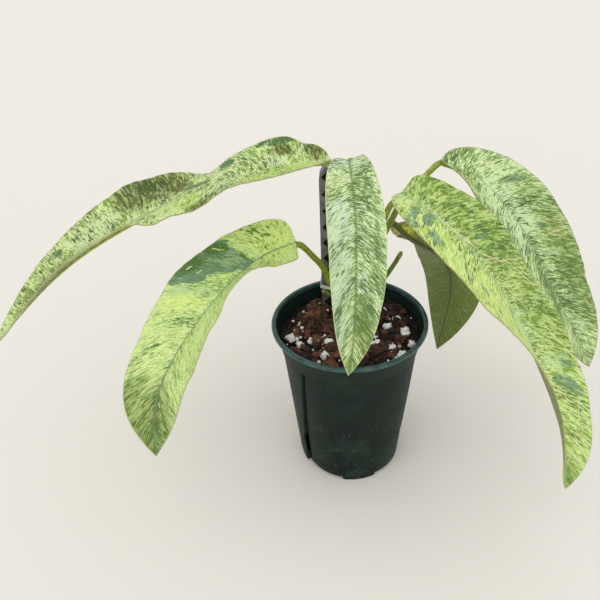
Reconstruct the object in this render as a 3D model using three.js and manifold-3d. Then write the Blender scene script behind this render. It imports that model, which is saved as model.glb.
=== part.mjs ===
// A climbing aroid with six long marbled leaves, tied to a plastic lattice pole in a slit nursery pot.
// Millimetres, +Z up. The origin is under the middle of the pot, and -Y is the side that leaf C hangs over.
import * as THREE from 'three';
import { mergeVertices } from 'three/addons/utils/BufferGeometryUtils.js';
import Module from 'manifold-3d';

const wasm = await Module();
wasm.setup();

// Driving dimensions of the pot
const POT_HEIGHT = 135;
const POT_BASE_RADIUS = 41.7;
const POT_TOP_RADIUS = 54.9;
const POT_WALL = 1.3;
const LIP_RADIUS = 60.3;
const LIP_HEIGHT = 3.4;
const LIP_WIDTH = 3.5;
const STEP_RING_DROP = 21.5;
const STEP_RING_RISE = 0.7;
const COLLAR_FLARE = { reach: 2.9, curve: 1.3 };
const PANEL_TURNS = [0, 124, 240];
const PANEL_TOP = 112.5;
const GROOVE_ANGLES = { top: -42, bottom: -58 };
const CREASE_ANGLES = { top: -27, bottom: -9.5 };
const GROOVE_HALF_ANGLE = 1.5;
const GROOVE_EXTRA_DEPTH = 0.8;
const PANEL_DEPTHS = { top: 1.2, bottom: 2.8 };
const FOOT_SPAN = { from: -7, to: 28 };
const FOOT_HEIGHT = 2.6;
const CENTRE_PAD_RADIUS = 14;
const FLOOR_TOP = 4.8;
const FLOOR_UNDERSIDE = 3.4;
const SLIT = { width: 3, from: 7, to: 37 };
const DRAIN_HOLE = { radius: 3.5, circle: 25 };

// Driving dimensions of the mix, pole, tie and stem
const CLEARANCE = 0.3;
const MIX_LEVEL = 123.5;
const MIX_MOUND = 3;
const MIX_UNEVENNESS = 0.8;
const POLE = { width: 38, depth: 10, centreX: -3.5, frontY: 30, foot: 72, top: 248, wall: 1.5, corner: 11 };
const POLE_EDGE = 0.95;
const DIAMOND = { pitchZ: 13.6, strut: 1.3, firstZ: 103.2, lastZ: 239.3, columns: 5 };
const TIE = { height: 3.4, thickness: 0.8, level: 144.2 };
const STEM_POINTS = [[-3, 24.8, 82], [-2, 24.8, 120], [0, 24.8, 165], [2, 24.8, 205], [2, 24.6, 229]];
const STEM_RADII = { foot: 4.3, top: 3.6, swelling: 0.55 };
const STEM_NODES = [0.34, 0.44, 0.5, 0.58, 0.67, 0.8, 0.95];

// Leaf sizes: length and half width, then the angles of the midrib and of the two halves, in degrees, read at
// even steps from the blade's base to its tip. Heading is measured from +X, pitch from the horizontal, roll
// round the midrib, and fold is how far each half is lifted. The left half is the one on the blade's left.
const BLADE_THICKNESS = 0.9;
const LEAVES = {
  leaf_a: {
    length: 286.1, halfWidth: 30.06, widest: 0.38, baseRound: 1.9, tipRound: 2.14, leftShare: 0.96,
    lobes: { left: 0.005, right: 0.005 },
    base: [-14, 16, 259], heading: [197.2, 209.7, 183, 197.2, 195.3, 175.5],
    pitch: [3.5, -3.1, -25.3, -28.3, -42.8, -49], roll: [-5.2, 12.7, -17.9, -24.1, -2.5, 30.5],
    foldRight: [56.4, -13.7, 48.8, 31.1, 6.7], foldLeft: [7.4, 24.8, -6.1, 13, 14.3],
    ripples: [
      ['left', 0.524, 0.07, 1.3], ['right', 0.439, 0.05, -4.6], ['right', 0.096, 0.05, 4],
      ['left', 0.614, 0.05, 1.2], ['left', 0.341, 0.06, -11.4], ['right', 0.425, 0.08, 7.8],
      ['right', 0.057, 0.022, -5.7], ['left', 0.418, 0.04, -6.6],
    ],
    stout: 1, petiole: [[2, 25, 216], [-5, 25.5, 223], [-11, 26, 238], [-14.5, 22.5, 254]],
  },
  leaf_b: {
    length: 188.1, halfWidth: 32.48, widest: 0.38, baseRound: 2.8, tipRound: 3.03, leftShare: 1.07,
    lobes: { left: 0.034, right: 0.034 },
    base: [-38, -8, 207], heading: [190.1, 219.6, 213.6, 250.6, 285.1],
    pitch: [-12.6, -26.5, -45.7, -37.5, -57.9], roll: [31.5, -11.8, 3.9, -4.9, 19.1],
    foldRight: [12.9, 37.6, 17.3, 25.5], foldLeft: [22.7, 24.8, 19, 35],
    ripples: [['right', 0.405, 0.06, 2.8], ['left', 0.388, 0.06, -2.6]],
    stout: 1.12, petiole: [
      [-1, 24.8, 151], [-8, 25, 151], [-14.4, 24.5, 151.3], [-17, 23.5, 156], [-18.6, 21.4, 163.7],
      [-22.4, 16, 174.9], [-27.3, 9, 185.5], [-31.7, 0.5, 196.7], [-34.8, -4, 202.6],
    ],
  },
  leaf_c: {
    length: 167, halfWidth: 21, widest: 0.48, baseRound: 1.97, tipRound: 2.77, leftShare: 0.94,
    lobes: { left: 0.025, right: 0.025 },
    base: [0, 19, 257], heading: [-91, -84, -89, -96, -116], pitch: [21, -29, -60, -68, -65],
    roll: [-8, -4, 13, 24, 23], foldRight: [18, 19, 20, 20], foldLeft: [20, 18, 15, 15],
    ripples: [['left', 0.2, 0.06, 1.5], ['right', 0.5, 0.08, 1.5], ['left', 0.75, 0.06, -1.5]],
    stout: 1, petiole: [[2, 24.6, 224], [4, 26, 236], [3, 26.5, 249], [0.6, 23.5, 255.5]],
  },
  leaf_d: {
    length: 267, halfWidth: 32, widest: 0.4, baseRound: 2.55, tipRound: 3.17, leftShare: 0.99,
    lobes: { left: 0.051, right: 0 },
    base: [33.8, -5.4, 244], heading: [-57, -24.3, -23.2, -44.9, -46.6],
    pitch: [3.9, -42.6, -58.7, -62, -83.7], roll: [-9.4, -12.3, -2.6, 3.3, -32.3],
    foldRight: [16.1, 10.9, 34.8, 44.6], foldLeft: [20.5, 10.1, 27.9, 40],
    ripples: [
      ['left', 0.27, 0.05, 2.5], ['right', 0.35, 0.07, -2], ['left', 0.55, 0.06, 2], ['left', 0.8, 0.05, -2],
    ],
    stout: 1.12, petiole: [
      [1, 24.8, 172], [8, 22, 177], [17, 19.5, 187], [23, 19, 195], [26.8, 18.8, 203], [30.5, 14, 214.5],
      [32.9, 6, 226.5], [33.6, -2, 238],
    ],
  },
  leaf_e: {
    length: 209, halfWidth: 30, widest: 0.48, baseRound: 2.15, tipRound: 2.91, leftShare: 1.02,
    lobes: { left: 0.007, right: 0.007 },
    base: [66, 40, 248], heading: [-12, -29, -24, -17, -24], pitch: [-13, -41, -57, -58, -63],
    roll: [-10, -31, -28, -23, -36], foldRight: [27, 22, 22, 23], foldLeft: [31, 28, 26, 30],
    ripples: [['left', 0.3, 0.07, 2], ['right', 0.45, 0.07, -2], ['left', 0.68, 0.06, -2]],
    stout: 1, petiole: [
      [1, 24.8, 184], [10, 25.5, 188], [19, 26.5, 196], [25, 27.5, 206], [30.2, 30, 217.3], [37.5, 32, 222.7],
      [45.4, 34, 229.2], [55.4, 37, 237.7], [61.8, 39, 243.9],
    ],
  },
  leaf_f: {
    length: 179.9, halfWidth: 29.6, widest: 0.465, baseRound: 1.13, tipRound: 2.31, leftShare: 1,
    lobes: { left: 0.017, right: 0.017 },
    base: [35.4, 33, 200], heading: [19.8, 44, 47.4, 46.3, 41.3], pitch: [-50.5, -37.3, -61, -100.4, -105.3],
    roll: [51.5, 12.2, 14.5, 11.6, 8.6], foldRight: [12, 12, 12, 12], foldLeft: [10, 9, 10, 11],
    ripples: [['left', 0.3, 0.07, 2], ['right', 0.5, 0.07, -2]],
    stout: 1, petiole: [
      [0, 24.8, 158], [9, 25.4, 168], [16, 26.6, 180], [21.5, 28, 190], [27, 30.2, 198], [32.4, 31.8, 200.8],
    ],
  },
};
const PETIOLE_RADII = { foot: 2.7, end: 1.9 };
const MIDRIB_END_RADIUS = 0.5;

const degrees = THREE.MathUtils.degToRad;
const mix = THREE.MathUtils.lerp;
const vector = (point) => new THREE.Vector3(...point);

// Solids are joined and cut here, and handed back as plain triangle geometry
function solidOf(geometry) {
  const plain = geometry.clone();
  plain.deleteAttribute('normal');
  plain.deleteAttribute('uv');
  const merged = mergeVertices(plain, 1e-4);
  const vertProperties = new Float32Array(merged.attributes.position.array);
  const triVerts = new Uint32Array(merged.index.array);
  return new wasm.Manifold(new wasm.Mesh({ numProp: 3, vertProperties, triVerts }));
}

function geometryOf(solid) {
  const mesh = solid.getMesh();
  const geometry = new THREE.BufferGeometry();
  geometry.setAttribute('position', new THREE.BufferAttribute(new Float32Array(mesh.vertProperties), 3));
  geometry.setIndex(new THREE.BufferAttribute(new Uint32Array(mesh.triVerts), 1));
  return geometry;
}

// A closed skin over rings of points. A ring of one point closes an end as a fan.
function skin(rings) {
  const positions = [];
  const indices = [];
  const starts = [];
  for (const ring of rings) {
    starts.push(positions.length / 3);
    for (const point of ring) positions.push(point.x, point.y, point.z);
  }
  const columns = Math.max(...rings.map((ring) => ring.length));
  const at = (row, column) => starts[row] + (rings[row].length === 1 ? 0 : column % columns);
  for (let row = 0; row < rings.length - 1; row += 1) {
    for (let column = 0; column < columns; column += 1) {
      const corners = [at(row, column), at(row, column + 1), at(row + 1, column + 1), at(row + 1, column)];
      if (corners[0] !== corners[1]) indices.push(corners[0], corners[1], corners[2]);
      if (corners[2] !== corners[3]) indices.push(corners[0], corners[2], corners[3]);
    }
  }
  const geometry = new THREE.BufferGeometry();
  geometry.setAttribute('position', new THREE.Float32BufferAttribute(positions, 3));
  geometry.setIndex(indices);
  return geometry;
}

// A round rod through the points, with a radius for each point and both ends closed
function rod(points, radii, sides) {
  const tangents = points.map((point, i) => {
    const before = points[Math.max(i - 1, 0)];
    const after = points[Math.min(i + 1, points.length - 1)];
    return after.clone().sub(before).normalize();
  });
  const side = new THREE.Vector3(1, 0, 0).cross(tangents[0]).normalize();
  const rings = [[points[0]]];
  points.forEach((point, i) => {
    side.addScaledVector(tangents[i], -side.dot(tangents[i])).normalize();
    const other = tangents[i].clone().cross(side);
    const ring = [];
    for (let k = 0; k < sides; k += 1) {
      const angle = (2 * Math.PI * k) / sides;
      const offset = side.clone().multiplyScalar(Math.cos(angle)).addScaledVector(other, Math.sin(angle));
      ring.push(point.clone().addScaledVector(offset, radii[i]));
    }
    rings.push(ring);
  });
  rings.push([points[points.length - 1]]);
  return skin(rings);
}

// A smooth value between hand-set values that lie at even steps from 0 to 1
function smoothValue(values, t) {
  const last = values.length - 1;
  const place = THREE.MathUtils.clamp(t, 0, 1) * last;
  const i = Math.min(Math.floor(place), last - 1);
  const f = place - i;
  const p0 = values[Math.max(i - 1, 0)];
  const p1 = values[i];
  const p2 = values[i + 1];
  const p3 = values[Math.min(i + 2, last)];
  return p1 + 0.5 * f * (p2 - p0 + f * (2 * p0 - 5 * p1 + 4 * p2 - p3 + f * (3 * (p1 - p2) + p3 - p0)));
}

// Pot: the wall is a cone with three sunken panels, each falling back from a crease to a groove
function panelLine(angles, z) {
  return mix(angles.bottom, angles.top, THREE.MathUtils.clamp(z / PANEL_TOP, 0, 1));
}

function wallStations(z) {
  const groove = panelLine(GROOVE_ANGLES, z);
  const crease = panelLine(CREASE_ANGLES, z);
  const depth = z > PANEL_TOP ? 0 : mix(PANEL_DEPTHS.bottom, PANEL_DEPTHS.top, z / PANEL_TOP);
  const extra = z > PANEL_TOP ? 0 : GROOVE_EXTRA_DEPTH;
  const panelStart = groove + GROOVE_HALF_ANGLE;
  return PANEL_TURNS.flatMap((turn, panel) => {
    const nextTurn = PANEL_TURNS[panel + 1] ?? 360;
    const nextGroove = groove + nextTurn - turn - GROOVE_HALF_ANGLE;
    const stations = [[groove - GROOVE_HALF_ANGLE, 0], [groove, depth + extra], [panelStart, depth]];
    for (const share of [1 / 3, 2 / 3]) stations.push([mix(panelStart, crease, share), depth * (1 - share)]);
    for (let k = 0; k < 7; k += 1) stations.push([mix(crease, nextGroove, k / 7), 0]);
    return stations.map(([angle, sunk]) => ({ angle: angle + turn, local: angle, sunk }));
  });
}

// Above the step ring the wall stands out a little and flares towards the lip
function coneRadius(z) {
  const cone = mix(POT_BASE_RADIUS, POT_TOP_RADIUS, z / POT_HEIGHT);
  const above = (z - POT_HEIGHT + STEP_RING_DROP) / (STEP_RING_DROP - LIP_HEIGHT);
  if (above <= 0) return cone;
  return cone + STEP_RING_RISE + COLLAR_FLARE.reach * Math.min(above, 1) ** COLLAR_FLARE.curve;
}

// Angles run from the front, which is -Y, towards +X
function polar(radius, angle, z) {
  return new THREE.Vector3(radius * Math.sin(degrees(angle)), -radius * Math.cos(degrees(angle)), z);
}

function wallRing(z, inset, lift = () => 0) {
  return wallStations(z).map((s) => polar(coneRadius(z) - s.sunk - inset, s.angle, z + lift(s.local)));
}

function roundRing(radius, z) {
  return wallStations(z).map((s) => polar(radius, s.angle, z));
}

const footLift = (angle) => (angle >= FOOT_SPAN.from && angle <= FOOT_SPAN.to ? 0 : FOOT_HEIGHT);

function makePot() {
  const ringZ = POT_HEIGHT - STEP_RING_DROP;
  const lipBottom = POT_HEIGHT - LIP_HEIGHT;
  const wallLevels = [9, 37, 56, 75, 94, PANEL_TOP, PANEL_TOP + 0.6, ringZ, ringZ + 0.4, 118, 123, 128];
  const mouth = LIP_RADIUS - LIP_WIDTH;
  const rings = [
    [new THREE.Vector3(0, 0, 0)],
    roundRing(CENTRE_PAD_RADIUS, 0),
    roundRing(CENTRE_PAD_RADIUS + 0.8, FLOOR_UNDERSIDE),
    roundRing(POT_BASE_RADIUS - 8, FLOOR_UNDERSIDE),
    wallRing(0, 4, footLift),
    wallRing(0, 1, footLift),
    wallRing(1, 0.2, footLift),
    ...wallLevels.map((z) => wallRing(z, 0)),
    wallRing(lipBottom, 0),
    roundRing(LIP_RADIUS - 0.7, lipBottom + 0.2),
    roundRing(LIP_RADIUS, lipBottom + 1),
    roundRing(LIP_RADIUS, POT_HEIGHT - 1),
    roundRing(LIP_RADIUS - 0.9, POT_HEIGHT),
    roundRing(mouth + 0.9, POT_HEIGHT),
    roundRing(mouth, POT_HEIGHT - 0.9),
    wallRing(lipBottom, POT_WALL),
    ...wallLevels.slice().reverse().map((z) => wallRing(z, POT_WALL)),
    wallRing(FLOOR_TOP + 1, POT_WALL + 0.2),
    wallRing(FLOOR_TOP, POT_WALL + 1.2),
    [new THREE.Vector3(0, 0, FLOOR_TOP)],
  ];
  let pot = solidOf(skin(rings));
  for (const turn of PANEL_TURNS) {
    const slitAngle = panelLine(GROOVE_ANGLES, (SLIT.from + SLIT.to) / 2) + turn;
    const slit = new THREE.BoxGeometry(SLIT.width, 14, SLIT.to - SLIT.from);
    slit.translate(0, -coneRadius(0), (SLIT.from + SLIT.to) / 2);
    slit.rotateZ(degrees(slitAngle));
    const hole = new THREE.CylinderGeometry(DRAIN_HOLE.radius, DRAIN_HOLE.radius, 8, 12);
    hole.rotateX(Math.PI / 2);
    hole.translate(0, -DRAIN_HOLE.circle, FLOOR_TOP - 1);
    hole.rotateZ(degrees(slitAngle + 60));
    pot = pot.subtract(solidOf(slit)).subtract(solidOf(hole));
  }
  return geometryOf(pot);
}

// Pole: two lattice plates joined by a rim round their edge, with a moss and coir filling between them
function poleOutline(inset) {
  const half = POLE.width / 2 - inset;
  const radius = POLE.corner - inset;
  const top = POLE.top - inset;
  const outline = new THREE.Shape();
  outline.moveTo(-half, POLE.foot + inset);
  outline.lineTo(half, POLE.foot + inset);
  outline.lineTo(half, top - radius);
  outline.absarc(half - radius, top - radius, radius, 0, Math.PI / 2);
  outline.lineTo(radius - half, top);
  outline.absarc(radius - half, top - radius, radius, Math.PI / 2, Math.PI);
  outline.closePath();
  return outline;
}

// An outline drawn in X and Z, given its thickness along +Y from startY
function plate(shape, startY, thickness) {
  const settings = { depth: thickness, bevelEnabled: false, curveSegments: 5 };
  const geometry = new THREE.ExtrudeGeometry(shape, settings);
  geometry.rotateX(Math.PI / 2);
  geometry.translate(POLE.centreX, startY + thickness, 0);
  return geometry;
}

function latticeShape() {
  const shape = poleOutline(0);
  const columnGap = (POLE.width - 2 * POLE_EDGE) / (DIAMOND.columns + 1);
  const halfWidth = columnGap - DIAMOND.strut / 2;
  const halfHeight = DIAMOND.pitchZ / 2 - DIAMOND.strut * 0.7;
  for (let column = 0; column < DIAMOND.columns; column += 1) {
    const x = (column - (DIAMOND.columns - 1) / 2) * columnGap;
    const shift = column % 2 === 0 ? 0 : DIAMOND.pitchZ / 2;
    for (let z = DIAMOND.firstZ + shift; z <= DIAMOND.lastZ; z += DIAMOND.pitchZ) {
      const diamond = new THREE.Path();
      diamond.moveTo(x - halfWidth, z);
      diamond.lineTo(x, z + halfHeight);
      diamond.lineTo(x + halfWidth, z);
      diamond.lineTo(x, z - halfHeight);
      diamond.closePath();
      shape.holes.push(diamond);
    }
  }
  return shape;
}

function makePoleShell() {
  const rim = poleOutline(0);
  rim.holes.push(poleOutline(POLE.wall));
  const front = solidOf(plate(latticeShape(), POLE.frontY, POLE.wall));
  const back = solidOf(plate(latticeShape(), POLE.frontY + POLE.depth - POLE.wall, POLE.wall));
  return geometryOf(solidOf(plate(rim, POLE.frontY, POLE.depth)).add(front).add(back));
}

function makePoleCore() {
  const inset = POLE.wall + CLEARANCE;
  return plate(poleOutline(inset), POLE.frontY + inset, POLE.depth - 2 * inset);
}

// Tie: a soft band drawn tight round pole and stem, so its outline is their common hull
function makeTie() {
  const left = POLE.centreX - POLE.width / 2 - CLEARANCE;
  const right = POLE.centreX + POLE.width / 2 + CLEARANCE;
  const front = POLE.frontY - CLEARANCE;
  const back = POLE.frontY + POLE.depth + CLEARANCE;
  const stem = stemPoint((TIE.level - STEM_POINTS[0][2]) / (STEM_POINTS[4][2] - STEM_POINTS[0][2]));
  const reach = STEM_RADII.foot + 0.9;
  const loop = (grow) => {
    const points = [new THREE.Vector2(left - grow, front - grow)];
    for (const angle of [-150, -120, -90, -60, -30]) {
      const x = stem.x + (reach + grow) * Math.cos(degrees(angle));
      points.push(new THREE.Vector2(x, stem.y + (reach + grow) * Math.sin(degrees(angle))));
    }
    points.push(new THREE.Vector2(right + grow, front - grow), new THREE.Vector2(right + grow, back + grow));
    points.push(new THREE.Vector2(left - grow, back + grow));
    return points;
  };
  const shape = new THREE.Shape(loop(TIE.thickness));
  shape.holes.push(new THREE.Path(loop(0)));
  const geometry = new THREE.ExtrudeGeometry(shape, { depth: TIE.height, bevelEnabled: false });
  geometry.translate(0, 0, TIE.level);
  return geometry;
}

// Stem: thicker at its nodes, with a cut petiole stub, a young shoot and short aerial roots
function stemPoint(t) {
  return new THREE.CatmullRomCurve3(STEM_POINTS.map(vector)).getPoint(THREE.MathUtils.clamp(t, 0, 1));
}

function stemSolid(grow) {
  const count = 28;
  const points = [];
  const radii = [];
  for (let i = 0; i <= count; i += 1) {
    const t = i / count;
    const swelling = STEM_NODES.reduce((sum, node) => sum + Math.exp(-(((t - node) / 0.018) ** 2)), 0);
    const rounded = Math.sqrt(Math.max(1 - ((t - 0.965) / 0.035) ** 2, 0.15));
    points.push(stemPoint(t));
    const radius = mix(STEM_RADII.foot, STEM_RADII.top, t) + STEM_RADII.swelling * swelling;
    radii.push(radius * (t > 0.965 ? rounded : 1) + grow);
  }
  points[count].z += grow;
  return solidOf(rod(points, radii, 10));
}

const STUB = [
  [-1, 24.8, 132], [10, 22, 138], [20, 21.5, 148], [28.3, 22, 161], [33.5, 19, 172.5], [38.5, 16, 185],
];
const SHOOT = [
  [-2, 24.5, 133], [-10, 25, 136], [-15.5, 26.3, 139.6], [-19, 27.3, 141.7], [-22.3, 27.8, 142.2],
];
const AERIAL_ROOTS = [
  [[0, 25, 174], [-7, 26.6, 171], [-10.5, 27.3, 164], [-11, 27.4, 159]],
  [[1, 25, 197], [-7, 26.8, 195], [-11, 27.4, 188], [-11.6, 27.5, 182]],
];

function sideGrowth(route, steps, startRadius, endRadius) {
  const points = new THREE.CatmullRomCurve3(route.map(vector)).getPoints(steps);
  return solidOf(rod(points, points.map((point, i) => mix(startRadius, endRadius, i / steps)), 8));
}

function makeStem() {
  let stem = stemSolid(0).add(sideGrowth(STUB, 10, 2.1, 1.7)).add(sideGrowth(SHOOT, 8, 1.7, 1.5));
  for (const route of AERIAL_ROOTS) stem = stem.add(sideGrowth(route, 6, 1.7, 0.8));
  return geometryOf(stem);
}

// Leaf: the blade's midrib is walked in small steps along its heading and pitch
const MIDRIB_STEPS = 60;
const BLADE_ROWS = [0, 1, 2, 4, 6, 9, 12, 16, 20, 24, 28, 32, 36, 40, 44, 48, 51, 54, 56, 58, 59, 60];
const BLADE_COLUMNS = [-1, -0.55, 0, 0.55, 1];
const FOLD_CURVE = 1.3;

function headingAt(leaf, t) {
  const heading = degrees(smoothValue(leaf.heading, t));
  const pitch = degrees(smoothValue(leaf.pitch, t));
  const along = new THREE.Vector3(
    Math.cos(pitch) * Math.cos(heading), Math.cos(pitch) * Math.sin(heading), Math.sin(pitch));
  const level = new THREE.Vector3(Math.sin(heading), -Math.cos(heading), 0);
  return { along, level };
}

function midribFrames(leaf) {
  const frames = [];
  const place = vector(leaf.base);
  for (let step = 0; step <= MIDRIB_STEPS; step += 1) {
    const t = step / MIDRIB_STEPS;
    const { along, level } = headingAt(leaf, t);
    if (step > 0) {
      const half = leaf.length / MIDRIB_STEPS / 2;
      place.addScaledVector(frames[step - 1].along, half).addScaledVector(along, half);
    }
    const roll = degrees(smoothValue(leaf.roll, t));
    const up = level.clone().cross(along);
    const right = level.clone().multiplyScalar(Math.cos(roll)).addScaledVector(up, Math.sin(roll));
    const normal = up.multiplyScalar(Math.cos(roll)).addScaledVector(level, -Math.sin(roll));
    frames.push({ t, place: place.clone(), along, right, normal });
  }
  return frames;
}

function widthShare(leaf, t) {
  if (t < leaf.widest) return Math.sqrt(1 - ((leaf.widest - t) / leaf.widest) ** leaf.baseRound);
  return 1 - ((t - leaf.widest) / (1 - leaf.widest)) ** leaf.tipRound;
}

function bladePoint(leaf, frame, across) {
  const isLeft = across < 0;
  const width = widthShare(leaf, frame.t);
  const reach = leaf.halfWidth * width * (isLeft ? leaf.leftShare : 1);
  const fold = degrees(smoothValue(isLeft ? leaf.foldLeft : leaf.foldRight, frame.t));
  const share = Math.abs(across);
  const lobe = isLeft ? leaf.lobes.left : leaf.lobes.right;
  const back = lobe * leaf.length * Math.sin(Math.PI * Math.min(frame.t / 0.12, 1)) * share;
  let lift = reach * Math.sin(fold) * share ** FOLD_CURVE;
  for (const [half, centre, spread, height] of leaf.ripples) {
    const swell = Math.exp(-(((frame.t - centre) / spread) ** 2));
    if ((half === 'left') === isLeft) lift += height * width * share ** 2 * swell;
  }
  return frame.place.clone()
    .addScaledVector(frame.right, reach * Math.cos(fold) * across)
    .addScaledVector(frame.normal, lift)
    .addScaledVector(frame.along, -back);
}

function bladeSolid(leaf, frames) {
  const bladeRow = (row) => BLADE_COLUMNS.map((across) => bladePoint(leaf, frames[row], across));
  const middle = BLADE_ROWS.map(bladeRow);
  const lastRow = BLADE_ROWS.length - 1;
  const lastColumn = BLADE_COLUMNS.length - 1;
  const normalAt = (row, column) => {
    if (row === 0 || row === lastRow) return frames[BLADE_ROWS[row]].normal.clone();
    const along = middle[row + 1][column].clone().sub(middle[row - 1][column]);
    const rightPoint = middle[row][Math.min(column + 1, lastColumn)];
    return rightPoint.clone().sub(middle[row][Math.max(column - 1, 0)]).cross(along).normalize();
  };
  const face = (row, column, side) =>
    middle[row][column].clone().addScaledVector(normalAt(row, column), (side * BLADE_THICKNESS) / 2);
  const rings = middle.map((points, row) => {
    const upper = points.map((point, column) => face(row, column, 1));
    const lower = points.map((point, column) => face(row, column, -1));
    return upper.concat(lower.reverse());
  });
  return solidOf(leafSkin(rings, BLADE_COLUMNS.length));
}

// The blade's skin: both faces are split along the same diagonals, and the two ends close as short edges
function leafSkin(rings, columns) {
  const positions = rings.flat().flatMap((point) => [point.x, point.y, point.z]);
  const size = columns * 2;
  const at = (row, k) => row * size + (k % size);
  const indices = [];
  for (let row = 0; row < rings.length - 1; row += 1) {
    for (let k = 0; k < size; k += 1) {
      const [a, b, c, d] = [at(row, k), at(row, k + 1), at(row + 1, k + 1), at(row + 1, k)];
      const isUpper = k < columns;
      indices.push(...(isUpper ? [a, b, c, a, c, d] : [a, b, d, b, c, d]));
    }
  }
  const geometry = new THREE.BufferGeometry();
  geometry.setAttribute('position', new THREE.Float32BufferAttribute(positions, 3));
  geometry.setIndex(indices);
  return dropFlatTriangles(mergeVertices(geometry, 1e-4));
}

function dropFlatTriangles(geometry) {
  const index = Array.from(geometry.index.array);
  const kept = [];
  for (let i = 0; i < index.length; i += 3) {
    const [a, b, c] = index.slice(i, i + 3);
    if (a !== b && b !== c && c !== a) kept.push(a, b, c);
  }
  geometry.setIndex(kept);
  return geometry;
}

// The petiole runs on under the blade as its raised midrib
function petioleSolid(leaf, frames) {
  const route = leaf.petiole.map(vector);
  route.push(vector(leaf.base).addScaledVector(frames[0].normal, -PETIOLE_RADII.end * 0.8));
  const steps = (route.length - 1) * 2;
  const points = new THREE.CatmullRomCurve3(route, false, 'centripetal').getPoints(steps);
  const foot = PETIOLE_RADII.foot * leaf.stout;
  const radii = points.map((point, i) => mix(foot, PETIOLE_RADII.end, i / steps));
  for (const row of BLADE_ROWS.filter((step) => step >= 2 && step <= 54)) {
    const frame = frames[row];
    const radius = mix(PETIOLE_RADII.end, MIDRIB_END_RADIUS, frame.t / 0.9);
    points.push(frame.place.clone().addScaledVector(frame.normal, -radius * 0.8));
    radii.push(radius);
  }
  return solidOf(rod(points, radii, 6));
}

function makeLeaf(leaf) {
  const frames = midribFrames(leaf);
  const petiole = petioleSolid(leaf, frames).subtract(stemSolid(CLEARANCE));
  return geometryOf(bladeSolid(leaf, frames).add(petiole));
}

// Mix: fills the pot to below the rim, with bark chips and perlite grains sunk into its surface
function randomFrom(seed) {
  let state = seed;
  return () => {
    state = (state * 1664525 + 1013904223) % 4294967296;
    return state / 4294967296;
  };
}

const BARK_COUNT = 32;
const PERLITE_COUNT = 20;
const MIX_SEED = 7;
const MIX_REACH = 48.5;

function mixHeight(x, y) {
  const share = Math.hypot(x, y) / MIX_REACH;
  const waves = Math.sin(x * 0.31) * Math.cos(y * 0.27);
  return MIX_LEVEL + MIX_MOUND * (1 - share * share) + MIX_UNEVENNESS * waves;
}

function makeMix() {
  const inset = POT_WALL + 2 * CLEARANCE;
  const levels = [37, 56, 75, 94, PANEL_TOP];
  const crown = [0.97, 0.65, 0.33];
  const top = MIX_LEVEL - 2;
  const rings = [
    [new THREE.Vector3(0, 0, FLOOR_TOP + CLEARANCE)],
    wallRing(FLOOR_TOP + CLEARANCE, inset + 1.4),
    wallRing(9, inset),
    ...levels.map((z) => wallRing(z, inset)),
    wallRing(top, inset),
    ...crown.map((share) => roundRing(0, 0).map((point, k) => {
      const angle = wallStations(top)[k].angle;
      const spot = polar((coneRadius(top) - inset - 1) * share, angle, 0);
      return spot.setZ(mixHeight(spot.x, spot.y));
    })),
    [new THREE.Vector3(0, 0, mixHeight(0, 0))],
  ];
  let soil = solidOf(skin(rings));
  const random = randomFrom(MIX_SEED);
  const place = (geometry, size, halfLength) => {
    const radius = (MIX_REACH + 2 - halfLength) * Math.sqrt(random());
    const angle = 360 * random();
    const spot = polar(radius, angle, 0);
    geometry.rotateX(random() * 0.9 - 0.45);
    geometry.rotateY(random() * 0.9 - 0.45);
    geometry.rotateZ(random() * Math.PI);
    geometry.translate(spot.x, spot.y, mixHeight(spot.x, spot.y) + size * 0.1);
    soil = soil.add(solidOf(geometry));
  };
  for (let i = 0; i < BARK_COUNT; i += 1) {
    const length = 7 + 6 * random();
    place(new THREE.BoxGeometry(length, length * 0.6, 4.5), 4.5, length * 0.7);
  }
  for (let i = 0; i < PERLITE_COUNT; i += 1) {
    const radius = 1.8 + 1.4 * random();
    place(new THREE.IcosahedronGeometry(radius, 0), radius, radius);
  }
  const poleHole = new THREE.BoxGeometry(POLE.width + 2 * CLEARANCE, POLE.depth + 2 * CLEARANCE, 100);
  poleHole.translate(POLE.centreX, POLE.frontY + POLE.depth / 2, POLE.foot - CLEARANCE + 50);
  const stemHole = new THREE.CylinderGeometry(STEM_RADII.foot + 1.2, STEM_RADII.foot + 1.2, 60, 12);
  stemHole.rotateX(Math.PI / 2);
  stemHole.translate(STEM_POINTS[0][0] + 0.6, STEM_POINTS[0][1], STEM_POINTS[0][2] - CLEARANCE + 30);
  return geometryOf(soil.subtract(solidOf(poleHole)).subtract(solidOf(stemHole)));
}

// Finishes
const POT_GREEN = new THREE.MeshStandardMaterial({ color: 0x24403a, roughness: 0.45, metalness: 0 });
const BARK_BROWN = new THREE.MeshStandardMaterial({ color: 0x4a2a20, roughness: 0.95, metalness: 0 });
const POLE_GREY = new THREE.MeshStandardMaterial({ color: 0x6f6d74, roughness: 0.6, metalness: 0 });
const MOSS_DARK = new THREE.MeshStandardMaterial({ color: 0x1c1a16, roughness: 1, metalness: 0 });
const TIE_WHITE = new THREE.MeshStandardMaterial({ color: 0xd8d8d4, roughness: 0.6, metalness: 0 });
const STEM_GREEN = new THREE.MeshStandardMaterial({ color: 0x6f8d2e, roughness: 0.5, metalness: 0 });
const LEAF_MARBLED = new THREE.MeshStandardMaterial({ color: 0x9cc25a, roughness: 0.42, metalness: 0 });
const LEAF_MINT = new THREE.MeshStandardMaterial({ color: 0xb4d49a, roughness: 0.42, metalness: 0 });
const LEAF_OLIVE = new THREE.MeshStandardMaterial({ color: 0x71843c, roughness: 0.6, metalness: 0 });
const LEAF_FINISHES = { leaf_c: LEAF_MINT, leaf_e: LEAF_MINT, leaf_f: LEAF_OLIVE };

const plant = new THREE.Group();

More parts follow.
